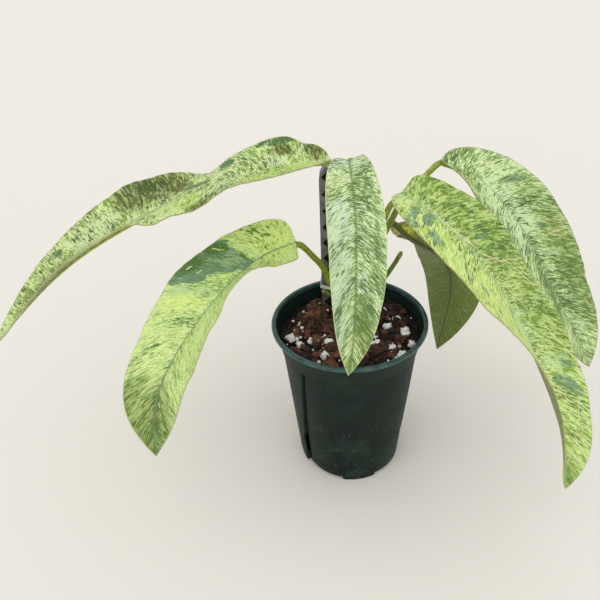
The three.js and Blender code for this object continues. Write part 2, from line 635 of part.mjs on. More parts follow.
function addPiece(name, geometry, material) {
  const flat = geometry.clone();
  flat.computeVertexNormals();
  const piece = new THREE.Mesh(flat, material);
  piece.name = name;
  plant.add(piece);
}

addPiece('pot', makePot(), POT_GREEN);
addPiece('soil', makeMix(), BARK_BROWN);
addPiece('pole_shell', makePoleShell(), POLE_GREY);
addPiece('pole_core', makePoleCore(), MOSS_DARK);
addPiece('tie', makeTie(), TIE_WHITE);
addPiece('stem', makeStem(), STEM_GREEN);
for (const [name, leaf] of Object.entries(LEAVES)) {
  addPiece(name, makeLeaf(leaf), LEAF_FINISHES[name] ?? LEAF_MARBLED);
}

export default plant;
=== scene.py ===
import math
import random
import bpy
from mathutils import Matrix, Vector, noise


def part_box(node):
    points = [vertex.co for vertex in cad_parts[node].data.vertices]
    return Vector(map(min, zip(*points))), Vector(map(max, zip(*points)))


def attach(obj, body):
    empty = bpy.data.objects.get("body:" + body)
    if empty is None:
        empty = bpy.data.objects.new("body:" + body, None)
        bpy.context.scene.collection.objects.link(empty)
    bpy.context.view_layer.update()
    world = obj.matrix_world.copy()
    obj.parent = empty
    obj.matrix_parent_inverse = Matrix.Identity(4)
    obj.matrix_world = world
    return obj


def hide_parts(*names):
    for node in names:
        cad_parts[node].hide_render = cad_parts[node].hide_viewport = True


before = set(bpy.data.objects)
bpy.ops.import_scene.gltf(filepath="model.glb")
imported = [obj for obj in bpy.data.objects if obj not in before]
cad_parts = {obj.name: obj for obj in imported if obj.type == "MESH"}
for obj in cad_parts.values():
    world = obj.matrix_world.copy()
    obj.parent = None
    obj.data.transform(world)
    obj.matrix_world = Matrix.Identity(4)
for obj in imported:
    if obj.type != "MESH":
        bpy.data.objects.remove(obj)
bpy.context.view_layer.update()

# View
# The photograph looks down on the plant from the front, with its optical axis a little right of its middle.
# A camera 45 cm up and 44 cm in front of the pot gives that view, with a 42 mm lens on a 36 mm sensor.
MM = 0.001
PHOTO_WIDTH = 600
AXIS_PIXEL = 350
CAMERA_PITCH_DOWN = 34.6
CAMERA_PLACE = (0, -435 * MM, 452.8 * MM)
LENS = 42
SENSOR = 36
camera_data = bpy.data.cameras.new("view")
camera_data.sensor_width = SENSOR
camera_data.lens = LENS
camera_data.shift_x = (PHOTO_WIDTH / 2 - AXIS_PIXEL) / PHOTO_WIDTH
camera_data.clip_start = 0.01
camera = bpy.data.objects.new("view", camera_data)
camera.location = CAMERA_PLACE
camera.rotation_euler = (math.radians(90 - CAMERA_PITCH_DOWN), 0, 0)
bpy.context.scene.collection.objects.link(camera)
bpy.context.scene.camera = camera
bpy.context.scene.view_settings.view_transform = "Standard"

# Floor and light
# A pale seamless floor under an even bright sky, with one very broad soft lamp above on the left and a
# weaker one on the right, both far away so that the floor stays evenly lit.
FLOOR_SIZE = 12
SKY_STRENGTH = 0.81
bpy.ops.object.select_all(action="DESELECT")


def hex_colour(code):
    """A linear colour with alpha from a six digit hex code."""
    parts = [int(code[i:i + 2], 16) / 255 for i in (0, 2, 4)]
    return [p / 12.92 if p <= 0.04045 else ((p + 0.055) / 1.055) ** 2.4 for p in parts] + [1]


def feed(tree, entry, value):
    """Wires an input to a socket, or sets it to a number, a vector or a colour given as its hex code."""
    if isinstance(value, bpy.types.NodeSocket):
        tree.links.new(value, entry)
    else:
        entry.default_value = hex_colour(value) if isinstance(value, str) else value


def add_node(tree, kind, values=None, **settings):
    """A shader node with its settings and with its inputs fed."""
    made = tree.nodes.new(kind)
    for key, setting in settings.items():
        setattr(made, key, setting)
    for key, value in (values or {}).items():
        feed(tree, made.inputs[key], value)
    return made


def shade(tree, name, value):
    """Feeds an input of a material's shader."""
    feed(tree, tree.nodes["Principled BSDF"].inputs[name], value)


def new_finish(piece, name, roughness, gloss=0.5):
    """Gives the piece a material and returns its tree."""
    finish = bpy.data.materials.new(name)
    finish.use_nodes = True
    piece.data.materials.append(finish)
    shade(finish.node_tree, "Roughness", roughness)
    shade(finish.node_tree, "Specular IOR Level", gloss)
    return finish.node_tree


bpy.ops.mesh.primitive_plane_add(size=FLOOR_SIZE)
floor = bpy.context.object
floor.name = "floor"
shade(new_finish(floor, "pale floor", 0.9, 0), "Base Color", "f0ede6")

world = bpy.data.worlds.new("studio")
bpy.context.scene.world = world
world.use_nodes = True
sky = world.node_tree.nodes["Background"].inputs
sky["Color"].default_value = (1.0, 0.99, 0.97, 1)
sky["Strength"].default_value = SKY_STRENGTH


def add_lamp(name, direction, spread, power):
    """A far lamp as wide as spread, in degrees, that shines from the direction onto the plant."""
    lamp_data = bpy.data.lights.new(name, "SUN")
    lamp_data.angle = math.radians(spread)
    lamp_data.energy = power
    lamp = bpy.data.objects.new(name, lamp_data)
    lamp.rotation_euler = Vector(direction).to_track_quat("Z", "Y").to_euler()
    bpy.context.scene.collection.objects.link(lamp)


add_lamp("key lamp", (-0.5, -1.1, 1.2), 70, 0.62)
add_lamp("fill lamp", (1.0, -0.6, 0.9), 60, 0.25)

# Pot
# A dark green nursery pot, injection moulded in polypropylene, with a thick lip and a faint step under it.
# Three panels fall back from a crease to a moulded groove, each groove opens in a drainage slit, and the
# floor has three holes and a flat pad in the middle. It stands on three feet.
POT_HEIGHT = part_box("pot")[1].z
BASE_RADIUS = 41.7 * MM
TOP_RADIUS = 54.9 * MM
POT_WALL = 1.3 * MM
LIP_RADIUS = 60.3 * MM
LIP_HEIGHT = 3.4 * MM
LIP_WIDTH = 3.5 * MM
LIP_ROUND = 1.5 * MM
STEP_RING_Z = POT_HEIGHT - 21.5 * MM
STEP_RING_RISE = 0.7 * MM
COLLAR_FLARE = 2.9 * MM
COLLAR_CURVE = 1.3
PANEL_TURNS = (0, 124, 240, 360)
PANELS = 3
PANEL_TOP = 112.5 * MM
CREASE_NICK = 0.35 * MM
NICK_WIDTH = 0.45
GROOVE_ANGLES = (-58, -42)
CREASE_ANGLES = (-9.5, -27)
PANEL_DEPTHS = (2.8 * MM, 1.2 * MM)
GROOVE_EXTRA_DEPTH = 1.7 * MM
GROOVE_HALF_ANGLE = 1.5
FOOT_SPAN = (-7, 28)
FOOT_HEIGHT = 2.6 * MM
PAD_RADIUS = 14 * MM
FLOOR_UNDERSIDE = 3.4 * MM
FLOOR_TOP = 4.8 * MM
SLIT_WIDTH = 3 * MM
SLIT_FROM = 7 * MM
SLIT_TO = 37 * MM
SLIT_DEPTH = 14 * MM
HOLE_RADIUS = 3.5 * MM
HOLE_CIRCLE = 25 * MM
HOLE_TURN = 60
DUST_LEVELS = (85 * MM, 50 * MM)


def between(low, high, share):
    """The value at a share of the way from low to high."""
    return low + (high - low) * min(max(share, 0), 1)


def eased(low, high, value):
    """0 up to low, 1 from high on, and a smooth step between them."""
    share = min(max((value - low) / (high - low), 0), 1)
    return share * share * (3 - 2 * share)


def shaped_sheet(name, columns, rows, place):
    """A grid whose vertices go where place(column, row) says."""
    bpy.ops.object.select_all(action="DESELECT")
    bpy.ops.mesh.primitive_grid_add(x_subdivisions=columns, y_subdivisions=rows, size=2)
    sheet = bpy.context.object
    sheet.name = name
    for vertex in sheet.data.vertices:
        column = round((vertex.co.x + 1) / 2 * columns)
        row = round((vertex.co.y + 1) / 2 * rows)
        vertex.co = place(column, row)
    return sheet


def close_up(piece):
    """Merges the seams and poles of a piece, and turns its faces outwards."""
    bpy.context.view_layer.objects.active = piece
    piece.select_set(True)
    bpy.ops.object.mode_set(mode="EDIT")
    bpy.ops.mesh.select_all(action="SELECT")
    bpy.ops.mesh.remove_doubles(threshold=0.00001)
    bpy.ops.mesh.normals_make_consistent(inside=False)
    bpy.ops.object.mode_set(mode="OBJECT")


def apply_modifier(piece, kind, **settings):
    """Adds a modifier to the piece and applies it at once."""
    bpy.context.view_layer.objects.active = piece
    modifier = piece.modifiers.new(kind.lower(), kind)
    for key, setting in settings.items():
        setattr(modifier, key, setting)
    bpy.ops.object.modifier_apply(modifier=modifier.name)


def cut_away(piece, cutter):
    """Cuts the cutter's shape out of the piece and deletes the cutter."""
    apply_modifier(piece, "BOOLEAN", operation="DIFFERENCE", object=cutter, solver="EXACT")
    bpy.data.objects.remove(cutter)


def smooth_by_angle(piece, angle):
    """Smooth shading except across edges sharper than the angle, in degrees."""
    bpy.ops.object.select_all(action="DESELECT")
    piece.select_set(True)
    bpy.context.view_layer.objects.active = piece
    bpy.ops.object.shade_smooth_by_angle(angle=math.radians(angle))


def panel_line(angles, z):
    """The angle at a height of a line that slants over a panel, given at its foot and its top."""
    return between(angles[0], angles[1], z / PANEL_TOP)


def sunk_at(angle, z):
    """How far the wall falls back at an angle inside one panel's third of the pot."""
    groove = panel_line(GROOVE_ANGLES, z)
    crease = panel_line(CREASE_ANGLES, z)
    depth = between(PANEL_DEPTHS[0], PANEL_DEPTHS[1], z / PANEL_TOP)
    slope = 1 - min(max((angle - groove) / (crease - groove), 0), 1)
    edge = eased(groove - GROOVE_HALF_ANGLE, groove - 0.35 * GROOVE_HALF_ANGLE, angle)
    floor_of_groove = 1 - eased(groove + 0.3 * GROOVE_HALF_ANGLE, groove + GROOVE_HALF_ANGLE, angle)
    fade = 1 - eased(PANEL_TOP - 0.5 * MM, PANEL_TOP + 0.3 * MM, z)
    nick = CREASE_NICK * math.exp(-(((angle - crease) / NICK_WIDTH) ** 2))
    return ((depth * slope + GROOVE_EXTRA_DEPTH * floor_of_groove) * edge + nick) * fade


GROOVE_STATIONS = (-2.2, -1.5, -1.25, -1.0, -0.75, -0.5, 0, 0.45, 0.75, 1.1, 1.5, 2)
SLOPE_STATIONS = 10
CREASE_STATIONS = (-0.7, -0.35, 0, 0.35, 0.7)
ROUND_STATIONS = 44
THIRD_STATIONS = len(GROOVE_STATIONS) + SLOPE_STATIONS + len(CREASE_STATIONS) + ROUND_STATIONS


def station_angle(column, z):
    """The angle of a column of the wall: the columns follow the grooves and creases as they slant."""
    third, k = divmod(column, THIRD_STATIONS)
    groove = panel_line(GROOVE_ANGLES, z)
    crease = panel_line(CREASE_ANGLES, z)
    span = PANEL_TURNS[third + 1] - PANEL_TURNS[third]
    slope_end = len(GROOVE_STATIONS) + SLOPE_STATIONS
    crease_end = slope_end + len(CREASE_STATIONS)
    if k < len(GROOVE_STATIONS):
        angle = groove + GROOVE_STATIONS[k]
    elif k < slope_end:
        share = (k - len(GROOVE_STATIONS) + 1) / SLOPE_STATIONS
        angle = between(groove + GROOVE_STATIONS[-1], crease + 2 * CREASE_STATIONS[0], share)
    elif k < crease_end:
        angle = crease + CREASE_STATIONS[k - slope_end]
    else:
        share = (k - crease_end + 1) / (ROUND_STATIONS + 1)
        angle = between(crease + CREASE_STATIONS[-1], groove + span + GROOVE_STATIONS[0], share)
    return angle, PANEL_TURNS[third]


def wall_radius(z):
    """The wall's cone with its step ring, above which it stands out a little and flares towards the lip."""
    step = STEP_RING_RISE * eased(STEP_RING_Z - 0.1 * MM, STEP_RING_Z + 0.3 * MM, z)
    step -= 0.3 * MM * math.exp(-(((z - STEP_RING_Z + 0.35 * MM) / (0.3 * MM)) ** 2))
    above = between(0, 1, (z - STEP_RING_Z) / (POT_HEIGHT - LIP_HEIGHT - STEP_RING_Z))
    cone = BASE_RADIUS + (TOP_RADIUS - BASE_RADIUS) * z / POT_HEIGHT
    return cone + step + COLLAR_FLARE * above ** COLLAR_CURVE


def foot_lift(angle):
    """How far the wall's lower edge stands off the ground at an angle inside one third of the pot."""
    if angle < 0:
        return FOOT_HEIGHT * eased(FOOT_SPAN[0], FOOT_SPAN[0] - 2, angle)
    return FOOT_HEIGHT * eased(FOOT_SPAN[1], FOOT_SPAN[1] + 2, angle)


lip_bottom = POT_HEIGHT - LIP_HEIGHT
mouth = LIP_RADIUS - LIP_WIDTH
LOW_LEVELS = (6, 8, 12, 18, 24, 30, 37, 44, 52, 60, 68, 76, 84, 92, 100, 107)
PANEL_END_LEVELS = (111, 111.9, 112.3, 112.6, 112.9)
RING_LEVELS = (-0.4, -0.2, 0, 0.15, 0.35, 1, 3, 6, 9, 12, 15)
wall_levels = [z * MM for z in LOW_LEVELS + PANEL_END_LEVELS]
wall_levels += [STEP_RING_Z + d * MM for d in RING_LEVELS]
# Each ring is (radius or None for the wall, inset from the wall, height, share of the foot's lift)
pot_rings = [(0, 0, 0, 0), (PAD_RADIUS * 0.5, 0, 0, 0), (PAD_RADIUS - 0.4 * MM, 0, 0, 0)]
pot_rings += [(PAD_RADIUS, 0, 0.4 * MM, 0), (PAD_RADIUS + 0.8 * MM, 0, FLOOR_UNDERSIDE, 0)]
pot_rings += [(BASE_RADIUS - 8 * MM, 0, FLOOR_UNDERSIDE, 0), (None, 4 * MM, 0, 1), (None, 1.2 * MM, 0, 1)]
pot_rings += [(None, 0.5 * MM, 0.2 * MM, 1), (None, 0.1 * MM, 0.8 * MM, 1), (None, 0, 2.2 * MM, 0.9)]
pot_rings += [(None, 0, z, 0.6 if z < 7 * MM else 0) for z in wall_levels]
pot_rings += [(None, 0, lip_bottom - 0.2 * MM, 0), (None, -0.2 * MM, lip_bottom + 0.1 * MM, 0)]


def rounded(centre_radius, centre_z, size, first_turn, last_turn, steps):
    """Rings round a corner of the lip."""
    for k in range(steps + 1):
        turn = math.radians(first_turn + (last_turn - first_turn) * k / steps)
        yield centre_radius + size * math.cos(turn), 0, centre_z + size * math.sin(turn), 0


pot_rings += rounded(LIP_RADIUS - 1 * MM, lip_bottom + 1.1 * MM, 1 * MM, -90, 0, 4)
pot_rings += rounded(LIP_RADIUS - LIP_ROUND, POT_HEIGHT - LIP_ROUND, LIP_ROUND, 0, 90, 6)
pot_rings += rounded(mouth + 1.2 * MM, POT_HEIGHT - 1.2 * MM, 1.2 * MM, 90, 180, 5)
pot_rings.append((None, POT_WALL, lip_bottom, 0))
pot_rings += [(None, POT_WALL, z, 0) for z in reversed(wall_levels)]
pot_rings += [(None, POT_WALL + 1.2 * MM, FLOOR_TOP, 0), (BASE_RADIUS * 0.5, 0, FLOOR_TOP, 0)]
pot_rings.append((0, 0, FLOOR_TOP, 0))


def at_turn(radius, turn, z):
    """A place round the pot's axis, turned from the front by so many radians."""
    return radius * math.sin(turn), -radius * math.cos(turn), z


def pot_point(column, row):
    """A place on the skin of the pot, from the pad under its floor over the lip to the top of its floor."""
    radius, inset, z, lift = pot_rings[row]
    angle, turn = station_angle(column % (PANELS * THIRD_STATIONS), z)
    if radius is None:
        radius = wall_radius(z) - sunk_at(angle, z) - inset
    return at_turn(radius, math.radians(angle + turn), z + lift * foot_lift(angle))


pot = shaped_sheet("nursery_pot", PANELS * THIRD_STATIONS, len(pot_rings) - 1, pot_point)
close_up(pot)
slit_middle = (SLIT_FROM + SLIT_TO) / 2
for panel_turn in PANEL_TURNS[:PANELS]:
    turn = math.radians(panel_line(GROOVE_ANGLES, slit_middle) + panel_turn)
    bpy.ops.mesh.primitive_cube_add(size=1)
    slit = bpy.context.object
    slit.scale = (SLIT_WIDTH, SLIT_DEPTH, SLIT_TO - SLIT_FROM)
    slit.location = at_turn(BASE_RADIUS, turn, slit_middle)
    slit.rotation_euler = (0, 0, turn)
    bpy.ops.object.transform_apply()
    cut_away(pot, slit)
    turn += math.radians(HOLE_TURN)
    bpy.ops.mesh.primitive_cylinder_add(vertices=32, radius=HOLE_RADIUS, depth=8 * MM)
    hole = bpy.context.object
    hole.location = at_turn(HOLE_CIRCLE, turn, FLOOR_TOP - 1 * MM)
    bpy.ops.object.transform_apply()
    cut_away(pot, hole)
smooth_by_angle(pot, 28)


def object_coordinates(tree):
    return add_node(tree, "ShaderNodeTexCoord").outputs["Object"]


def height_of(tree, place):
    return add_node(tree, "ShaderNodeSeparateXYZ", {"Vector": place}).outputs["Z"]


def noise_mask(tree, vector, scale, detail=3, roughness=0.55):
    """A noise value over the surface. Scale is in cells to the metre on object coordinates."""
    values = {"Vector": vector, "Scale": scale, "Detail": detail, "Roughness": roughness}
    return add_node(tree, "ShaderNodeTexNoise", values).outputs["Fac"]


def step_mask(tree, value, low, high):
    """A smooth step from 0 at low to 1 at high."""
    values = {"Value": value, "From Min": low, "From Max": high}
    return add_node(tree, "ShaderNodeMapRange", values, interpolation_type="SMOOTHSTEP").outputs["Result"]


def mixed(tree, share, first, second):
    """The first colour where share is 0 and the second where it is 1."""
    return add_node(tree, "ShaderNodeMix", {0: share, 6: first, 7: second}, data_type="RGBA").outputs[2]


def tinted(tree, first, value, low, high, second):
    """The first colour, which turns to the second as the value goes from low to high."""
    return mixed(tree, step_mask(tree, value, low, high), first, second)


def sum_of(tree, first, second, operation="ADD"):
    """The sum of two values, or what another operation makes of them."""
    return add_node(tree, "ShaderNodeMath", {0: first, 1: second}, operation=operation).outputs[0]


def dress(tree, colour, height, distance, strength=1.0):
    """Gives a material its colour, and its height as a bump of that distance in metres."""
    shade(tree, "Base Color", colour)
    values = {"Height": height, "Distance": distance, "Strength": strength}
    shade(tree, "Normal", add_node(tree, "ShaderNodeBump", values).outputs["Normal"])


tree = new_finish(pot, "dark green moulded plastic", 0.5, 0.12)
place = object_coordinates(tree)
level = height_of(tree, place)
# Painted shade: the wall's colour is darker towards the bottom.
colour = tinted(tree, "0f1c17", level, 0, POT_HEIGHT, "1a2621")
colour = tinted(tree, colour, noise_mask(tree, place, 38, 4), 0.4, 0.75, "21332b")
grain = add_node(tree, "ShaderNodeTexVoronoi", {"Vector": place, "Scale": 560}).outputs["Distance"]
dust = step_mask(tree, grain, 0.22, 0.12)
for value, low, high in ((noise_mask(tree, place, 90, 2), 0.46, 0.6), (level, *DUST_LEVELS)):
    dust = sum_of(tree, dust, step_mask(tree, value, low, high), "MULTIPLY")
colour = mixed(tree, dust, colour, "75827c")
dress(tree, colour, noise_mask(tree, place, 900, 2), 0.03 * MM, 0.35)
# Painted highlights: the lip is coloured lighter than the wall, and lighter still in the noise patches.
tree = new_finish(pot, "teal green lip with painted highlights", 0.32, 0.35)
lip_highlights = noise_mask(tree, object_coordinates(tree), 120, 4)
shade(tree, "Base Color", tinted(tree, "2c4a46", lip_highlights, 0.4, 0.7, "466863"))
for face in pot.data.polygons:
    radius = math.hypot(face.center.x, face.center.y)
    if face.center.z > lip_bottom - 0.1 * MM and radius > mouth - 0.2 * MM:
        face.material_index = 1
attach(pot, "root")
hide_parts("pot")

# Potting mix
# A chunky mix of moist reddish bark chips, dark humus crumbs and white perlite, pressed into the pot by
# hand to about a centimetre below the lip. Its body shows through the slits and between the chips.
MIX_LEVEL = 123.5 * MM
MIX_MOUND = 3 * MM
MIX_WAVE = 0.8 * MM
MIX_LUMP = 1.6 * MM
CROWN_DROP = 2.2 * MM
MIX_REACH = 48.5 * MM
MIX_BODY_INSET = POT_WALL + 0.6 * MM
POLE_WIDTH = 38 * MM
POLE_DEPTH = 10 * MM
POLE_CENTRE_X = -3.5 * MM
POLE_FRONT_Y = 30 * MM
MIX_COLUMNS = 96
MIX_SIDE_LEVELS = (5.2, 8, 37, 56, 75, 94, 112)
MIX_CROWN_RINGS = 26
MIX_TOP_REACH = 54 * MM
BARK_PIECES = 190
BARK_LENGTHS = (5, 16, 9)
CRUMB_PIECES = 1500
CRUMB_LENGTHS = (1, 3.2, 1.6)
FULL_TURN = 6.283
STEM_FOOT = (-2 * MM, 24.8 * MM)
STEM_CLEARANCE = 7 * MM
mix_random = random.Random(5)


def mix_height(x, y):
    """How high the mix lies at a place, in a low mound with shallow waves."""
    share = math.hypot(x, y) / MIX_REACH
    waves = MIX_WAVE * math.sin(x / MM * 0.31) * math.cos(y / MM * 0.27)
    return MIX_LEVEL + MIX_MOUND * (1 - share * share) + waves


def mix_point(column, row):
    """A place on the skin of the mix: its flat foot, its side and then its lumpy crown."""
    heading = math.radians(360 * column / MIX_COLUMNS)
    if row == 0:
        return 0, 0, MIX_SIDE_LEVELS[0] * MM
    if row <= len(MIX_SIDE_LEVELS):
        z = MIX_SIDE_LEVELS[row - 1] * MM
        deepest = PANEL_DEPTHS[0] + GROOVE_EXTRA_DEPTH
        return at_turn(wall_radius(z) - MIX_BODY_INSET - deepest, heading, z)
    share = 1 - (row - len(MIX_SIDE_LEVELS) - 1) / MIX_CROWN_RINGS
    radius = (wall_radius(MIX_LEVEL) - MIX_BODY_INSET) * share
    x = radius * math.sin(heading)
    y = -radius * math.cos(heading)
    lumps = noise.fractal(Vector((x, y, 0)) * 170, 0.7, 2.1, 4) * MIX_LUMP
    return x, y, mix_height(x, y) - CROWN_DROP + lumps


mix_body = shaped_sheet("mix_body", MIX_COLUMNS, len(MIX_SIDE_LEVELS) + MIX_CROWN_RINGS + 1, mix_point)
close_up(mix_body)


def make_chip(name, subdivisions, stretch, roughness, seed):
    """A lump broken off a round start, flattened and made uneven."""
    bpy.ops.object.select_all(action="DESELECT")
    bpy.ops.mesh.primitive_ico_sphere_add(subdivisions=subdivisions, radius=0.5)
    chip = bpy.context.object
    chip.name = name
    for vertex in chip.data.vertices:
        point = vertex.co.normalized()
        facet = max(abs(point.x), abs(point.y), abs(point.z))
        lump = noise.noise(point * 2.3 + Vector((seed * 7.1, 0, 0))) * roughness
        lump += noise.noise(point * 6 + Vector((0, seed * 3.7, 0))) * roughness * 0.4
        radius = (0.5 / facet) * 0.55 + 0.5 * 0.45 + lump * 0.5
        vertex.co = Vector((point.x * stretch[0], point.y * stretch[1], point.z * stretch[2])) * radius
    return chip


def scatter_piece(model, length, place_at, tilt, tone):
    """A copy of the model, turned, scaled and set down, with its tone as an attribute."""
    mesh = model.data.copy()
    turn = Matrix.Rotation(mix_random.uniform(0, FULL_TURN), 4, "Z")
    lean = Matrix.Rotation(mix_random.uniform(-tilt, tilt), 4, "X")
    lean = lean @ Matrix.Rotation(mix_random.uniform(-tilt, tilt), 4, "Y")
    mesh.transform(Matrix.Translation(place_at) @ lean @ turn @ Matrix.Scale(length, 4))
    tones = mesh.attributes.new("tone", "FLOAT", "POINT")
    tones.data.foreach_set("value", [tone] * len(mesh.vertices))
    copy = bpy.data.objects.new(model.name, mesh)
    bpy.context.scene.collection.objects.link(copy)
    return copy


def join_pieces(pieces, name):
    bpy.ops.object.select_all(action="DESELECT")
    for piece in pieces:
        piece.select_set(True)
    bpy.context.view_layer.objects.active = pieces[0]
    bpy.ops.object.join()
    joined = bpy.context.object
    joined.name = name
    return joined


def in_pole(x, y, margin):
    across = abs(x - POLE_CENTRE_X) < POLE_WIDTH / 2 + margin
    deep = abs(y - POLE_FRONT_Y - POLE_DEPTH / 2) < POLE_DEPTH / 2 + margin
    return across and deep


def random_spot(reach):
    """A place on the mix that the pole and the stem leave free."""
    while True:
        radius = reach * math.sqrt(mix_random.random())
        angle = mix_random.uniform(0, FULL_TURN)
        x = radius * math.cos(angle)
        y = radius * math.sin(angle)
        off_stem = math.hypot(x - STEM_FOOT[0], y - STEM_FOOT[1]) > STEM_CLEARANCE
        if off_stem and not in_pole(x, y, 2 * MM):
            return x, y


bark_models = [
    make_chip("bark_a", 3, (1.0, 0.62, 0.42), 0.5, 1),
    make_chip("bark_b", 3, (1.0, 0.75, 0.5), 0.6, 2),
    make_chip("bark_c", 3, (1.0, 0.45, 0.36), 0.5, 3),
    make_chip("bark_d", 3, (0.9, 0.8, 0.62), 0.7, 4),
]
crumb_models = [make_chip("crumb_a", 1, (1, 0.8, 0.8), 0.6, 5)]
crumb_models.append(make_chip("crumb_b", 1, (1, 0.6, 0.5), 0.6, 6))
bark = []
for k in range(BARK_PIECES):
    length = mix_random.triangular(*BARK_LENGTHS) * MM
    x, y = random_spot(MIX_TOP_REACH - length * 0.5)
    z = mix_height(x, y) - mix_random.uniform(0.2, 2.6) * MM
    bark.append(scatter_piece(bark_models[k % 4], length, (x, y, z), 0.6, mix_random.random()))
crumbs = []
for k in range(CRUMB_PIECES):
    length = mix_random.triangular(*CRUMB_LENGTHS) * MM
    x, y = random_spot(MIX_TOP_REACH - length * 0.5)
    z = mix_height(x, y) - 1.8 * MM + noise.noise(Vector((x, y, 3)) * 180) * 1.4 * MM
    crumbs.append(scatter_piece(crumb_models[k % 2], length, (x, y, z), 1.5, mix_random.random() * 0.5))
for model in bark_models + crumb_models:
    bpy.data.objects.remove(model)
mix_pieces = join_pieces([mix_body] + bark + crumbs, "potting_mix")
smooth_by_angle(mix_pieces, 40)
tree = new_finish(mix_pieces, "moist bark", 0.72)
place = object_coordinates(tree)
tone = add_node(tree, "ShaderNodeAttribute", attribute_name="tone").outputs["Fac"]
fibres = noise_mask(tree, place, 900, 4, 0.65)
patches = noise_mask(tree, place, 240, 3)
colour = tinted(tree, "140b08", tone, 0.1, 0.6, "50301f")
colour = tinted(tree, colour, tone, 0.6, 0.95, "7e4a37")
colour = tinted(tree, colour, patches, 0.48, 0.66, "22140f")
colour = tinted(tree, colour, fibres, 0.58, 0.8, "a07662")
shade(tree, "Roughness", step_mask(tree, patches, -0.6, 1.0))
dress(tree, colour, fibres, 0.35 * MM, 0.9)
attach(mix_pieces, "root")
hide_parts("soil")

# Perlite
# White grains of expanded volcanic glass, mixed through the bark. The large ones lie where the photograph
# shows them, given as x, y and size, and small ones are strewn between.
LARGE_PERLITE = [
    (-45, -12, 5.5), (-40.5, -12, 2.4), (-38, -19, 4.2), (-42.5, -27, 3.6), (-30.5, -16.5, 2.8),
    (-30, -13, 2.2), (-16, -18.5, 5), (-14, -24, 2.8), (-18, -33, 5.6), (-13, -32, 2.8),
    (-22.5, -39.5, 2.4), (37, 12, 5.2), (29, 1.5, 5.2), (42.5, -4, 7.5), (20.5, -12.5, 3.6),
    (19.5, -20.5, 5.6), (31.5, -23.5, 6.2), (47, -17, 4.6), (39, -32, 6), (36, -21, 3.4),
    (26, -41, 2.4), (34.5, -35, 2.4), (-39.5, 7, 2.6), (-37.5, 1, 2.2),
]
LARGE_PERLITE_SCALE = 1.22
SMALL_PERLITE = 70
SMALL_PERLITE_SIZES = (0.9, 2.6, 1.3)
perlite_models = [
    make_chip("perlite_a", 3, (1, 0.88, 0.8), 0.5, 8),
    make_chip("perlite_b", 3, (1, 0.76, 0.72), 0.55, 9),
    make_chip("perlite_c", 3, (0.95, 0.92, 0.8), 0.45, 10),
]
perlite = []
for k, (x, y, size) in enumerate(LARGE_PERLITE):
    spot = (x * MM, y * MM, mix_height(x * MM, y * MM) + 0.15 * size * MM)
    length = size * LARGE_PERLITE_SCALE * MM
    perlite.append(scatter_piece(perlite_models[k % 3], length, spot, 0.5, mix_random.random()))
for k in range(SMALL_PERLITE):
    size = mix_random.triangular(*SMALL_PERLITE_SIZES) * MM
    x, y = random_spot(MIX_TOP_REACH - size)
    spot = (x, y, mix_height(x, y) + 0.1 * size)
    perlite.append(scatter_piece(perlite_models[k % 3], size, spot, 1.0, mix_random.random()))
for model in perlite_models:
    bpy.data.objects.remove(model)
perlite_grains = join_pieces(perlite, "perlite_grains")
smooth_by_angle(perlite_grains, 60)
tree = new_finish(perlite_grains, "white perlite", 0.85)
pits = noise_mask(tree, object_coordinates(tree), 1300, 3, 0.6)
tone = add_node(tree, "ShaderNodeAttribute", attribute_name="tone").outputs["Fac"]
colour = tinted(tree, "fdfdfb", tone, 0.5, 1.0, "f3f0eb")
colour = tinted(tree, colour, pits, 0.66, 0.88, "c9bfb4")
dress(tree, colour, pits, 0.3 * MM, 0.8)
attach(perlite_grains, "root")

# Pole shell
# A flat support pole moulded in grey plastic: two lattice plates with diamond openings, joined by a narrow
# rim round their edge, with rounded top corners. Its foot stands deep in the mix.
POLE_FOOT = 72 * MM
POLE_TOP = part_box("pole_shell")[1].z
POLE_WALL = 1.5 * MM
POLE_CORNER = 11 * MM
POLE_EDGE = 0.95 * MM
DIAMOND_PITCH = 13.6 * MM
DIAMOND_STRUT = 1.3 * MM
DIAMOND_LEVELS = (103.2 * MM, 239.3 * MM)
DIAMOND_COLUMNS = 5
POLE_SOILED = (150 * MM, 118 * MM)


def pole_block(name, inset, depth):
    """A block with the pole's rounded outline, set in by inset all round and depth thick."""
    bpy.ops.object.select_all(action="DESELECT")
    bpy.ops.mesh.primitive_cube_add(size=1)
    block = bpy.context.object
    block.name = name
    block.scale = (POLE_WIDTH - 2 * inset, depth, POLE_TOP - POLE_FOOT - 2 * inset)
    block.location = (POLE_CENTRE_X, POLE_FRONT_Y + POLE_DEPTH / 2, (POLE_TOP + POLE_FOOT) / 2)
    bpy.ops.object.transform_apply()
    bpy.ops.object.mode_set(mode="EDIT")
    bpy.ops.mesh.select_mode(type="EDGE")
    bpy.ops.mesh.select_all(action="DESELECT")
    bpy.ops.object.mode_set(mode="OBJECT")
    for edge in block.data.edges:
        first, second = (block.data.vertices[i].co for i in edge.vertices)
        at_top = min(first.z, second.z) > POLE_TOP - inset - 1 * MM
        edge.select = at_top and abs(first.y - second.y) > depth / 2
    bpy.ops.object.mode_set(mode="EDIT")
    bpy.ops.mesh.bevel(offset=POLE_CORNER - inset, segments=10, affect="EDGES")
    bpy.ops.object.mode_set(mode="OBJECT")
    return block


def round_edges(piece, width, angle):
    """Rounds the edges of the piece that are sharper than the angle, in degrees."""
    sharp = math.radians(angle)
    apply_modifier(piece, "BEVEL", width=width, segments=2, limit_method="ANGLE", angle_limit=sharp)


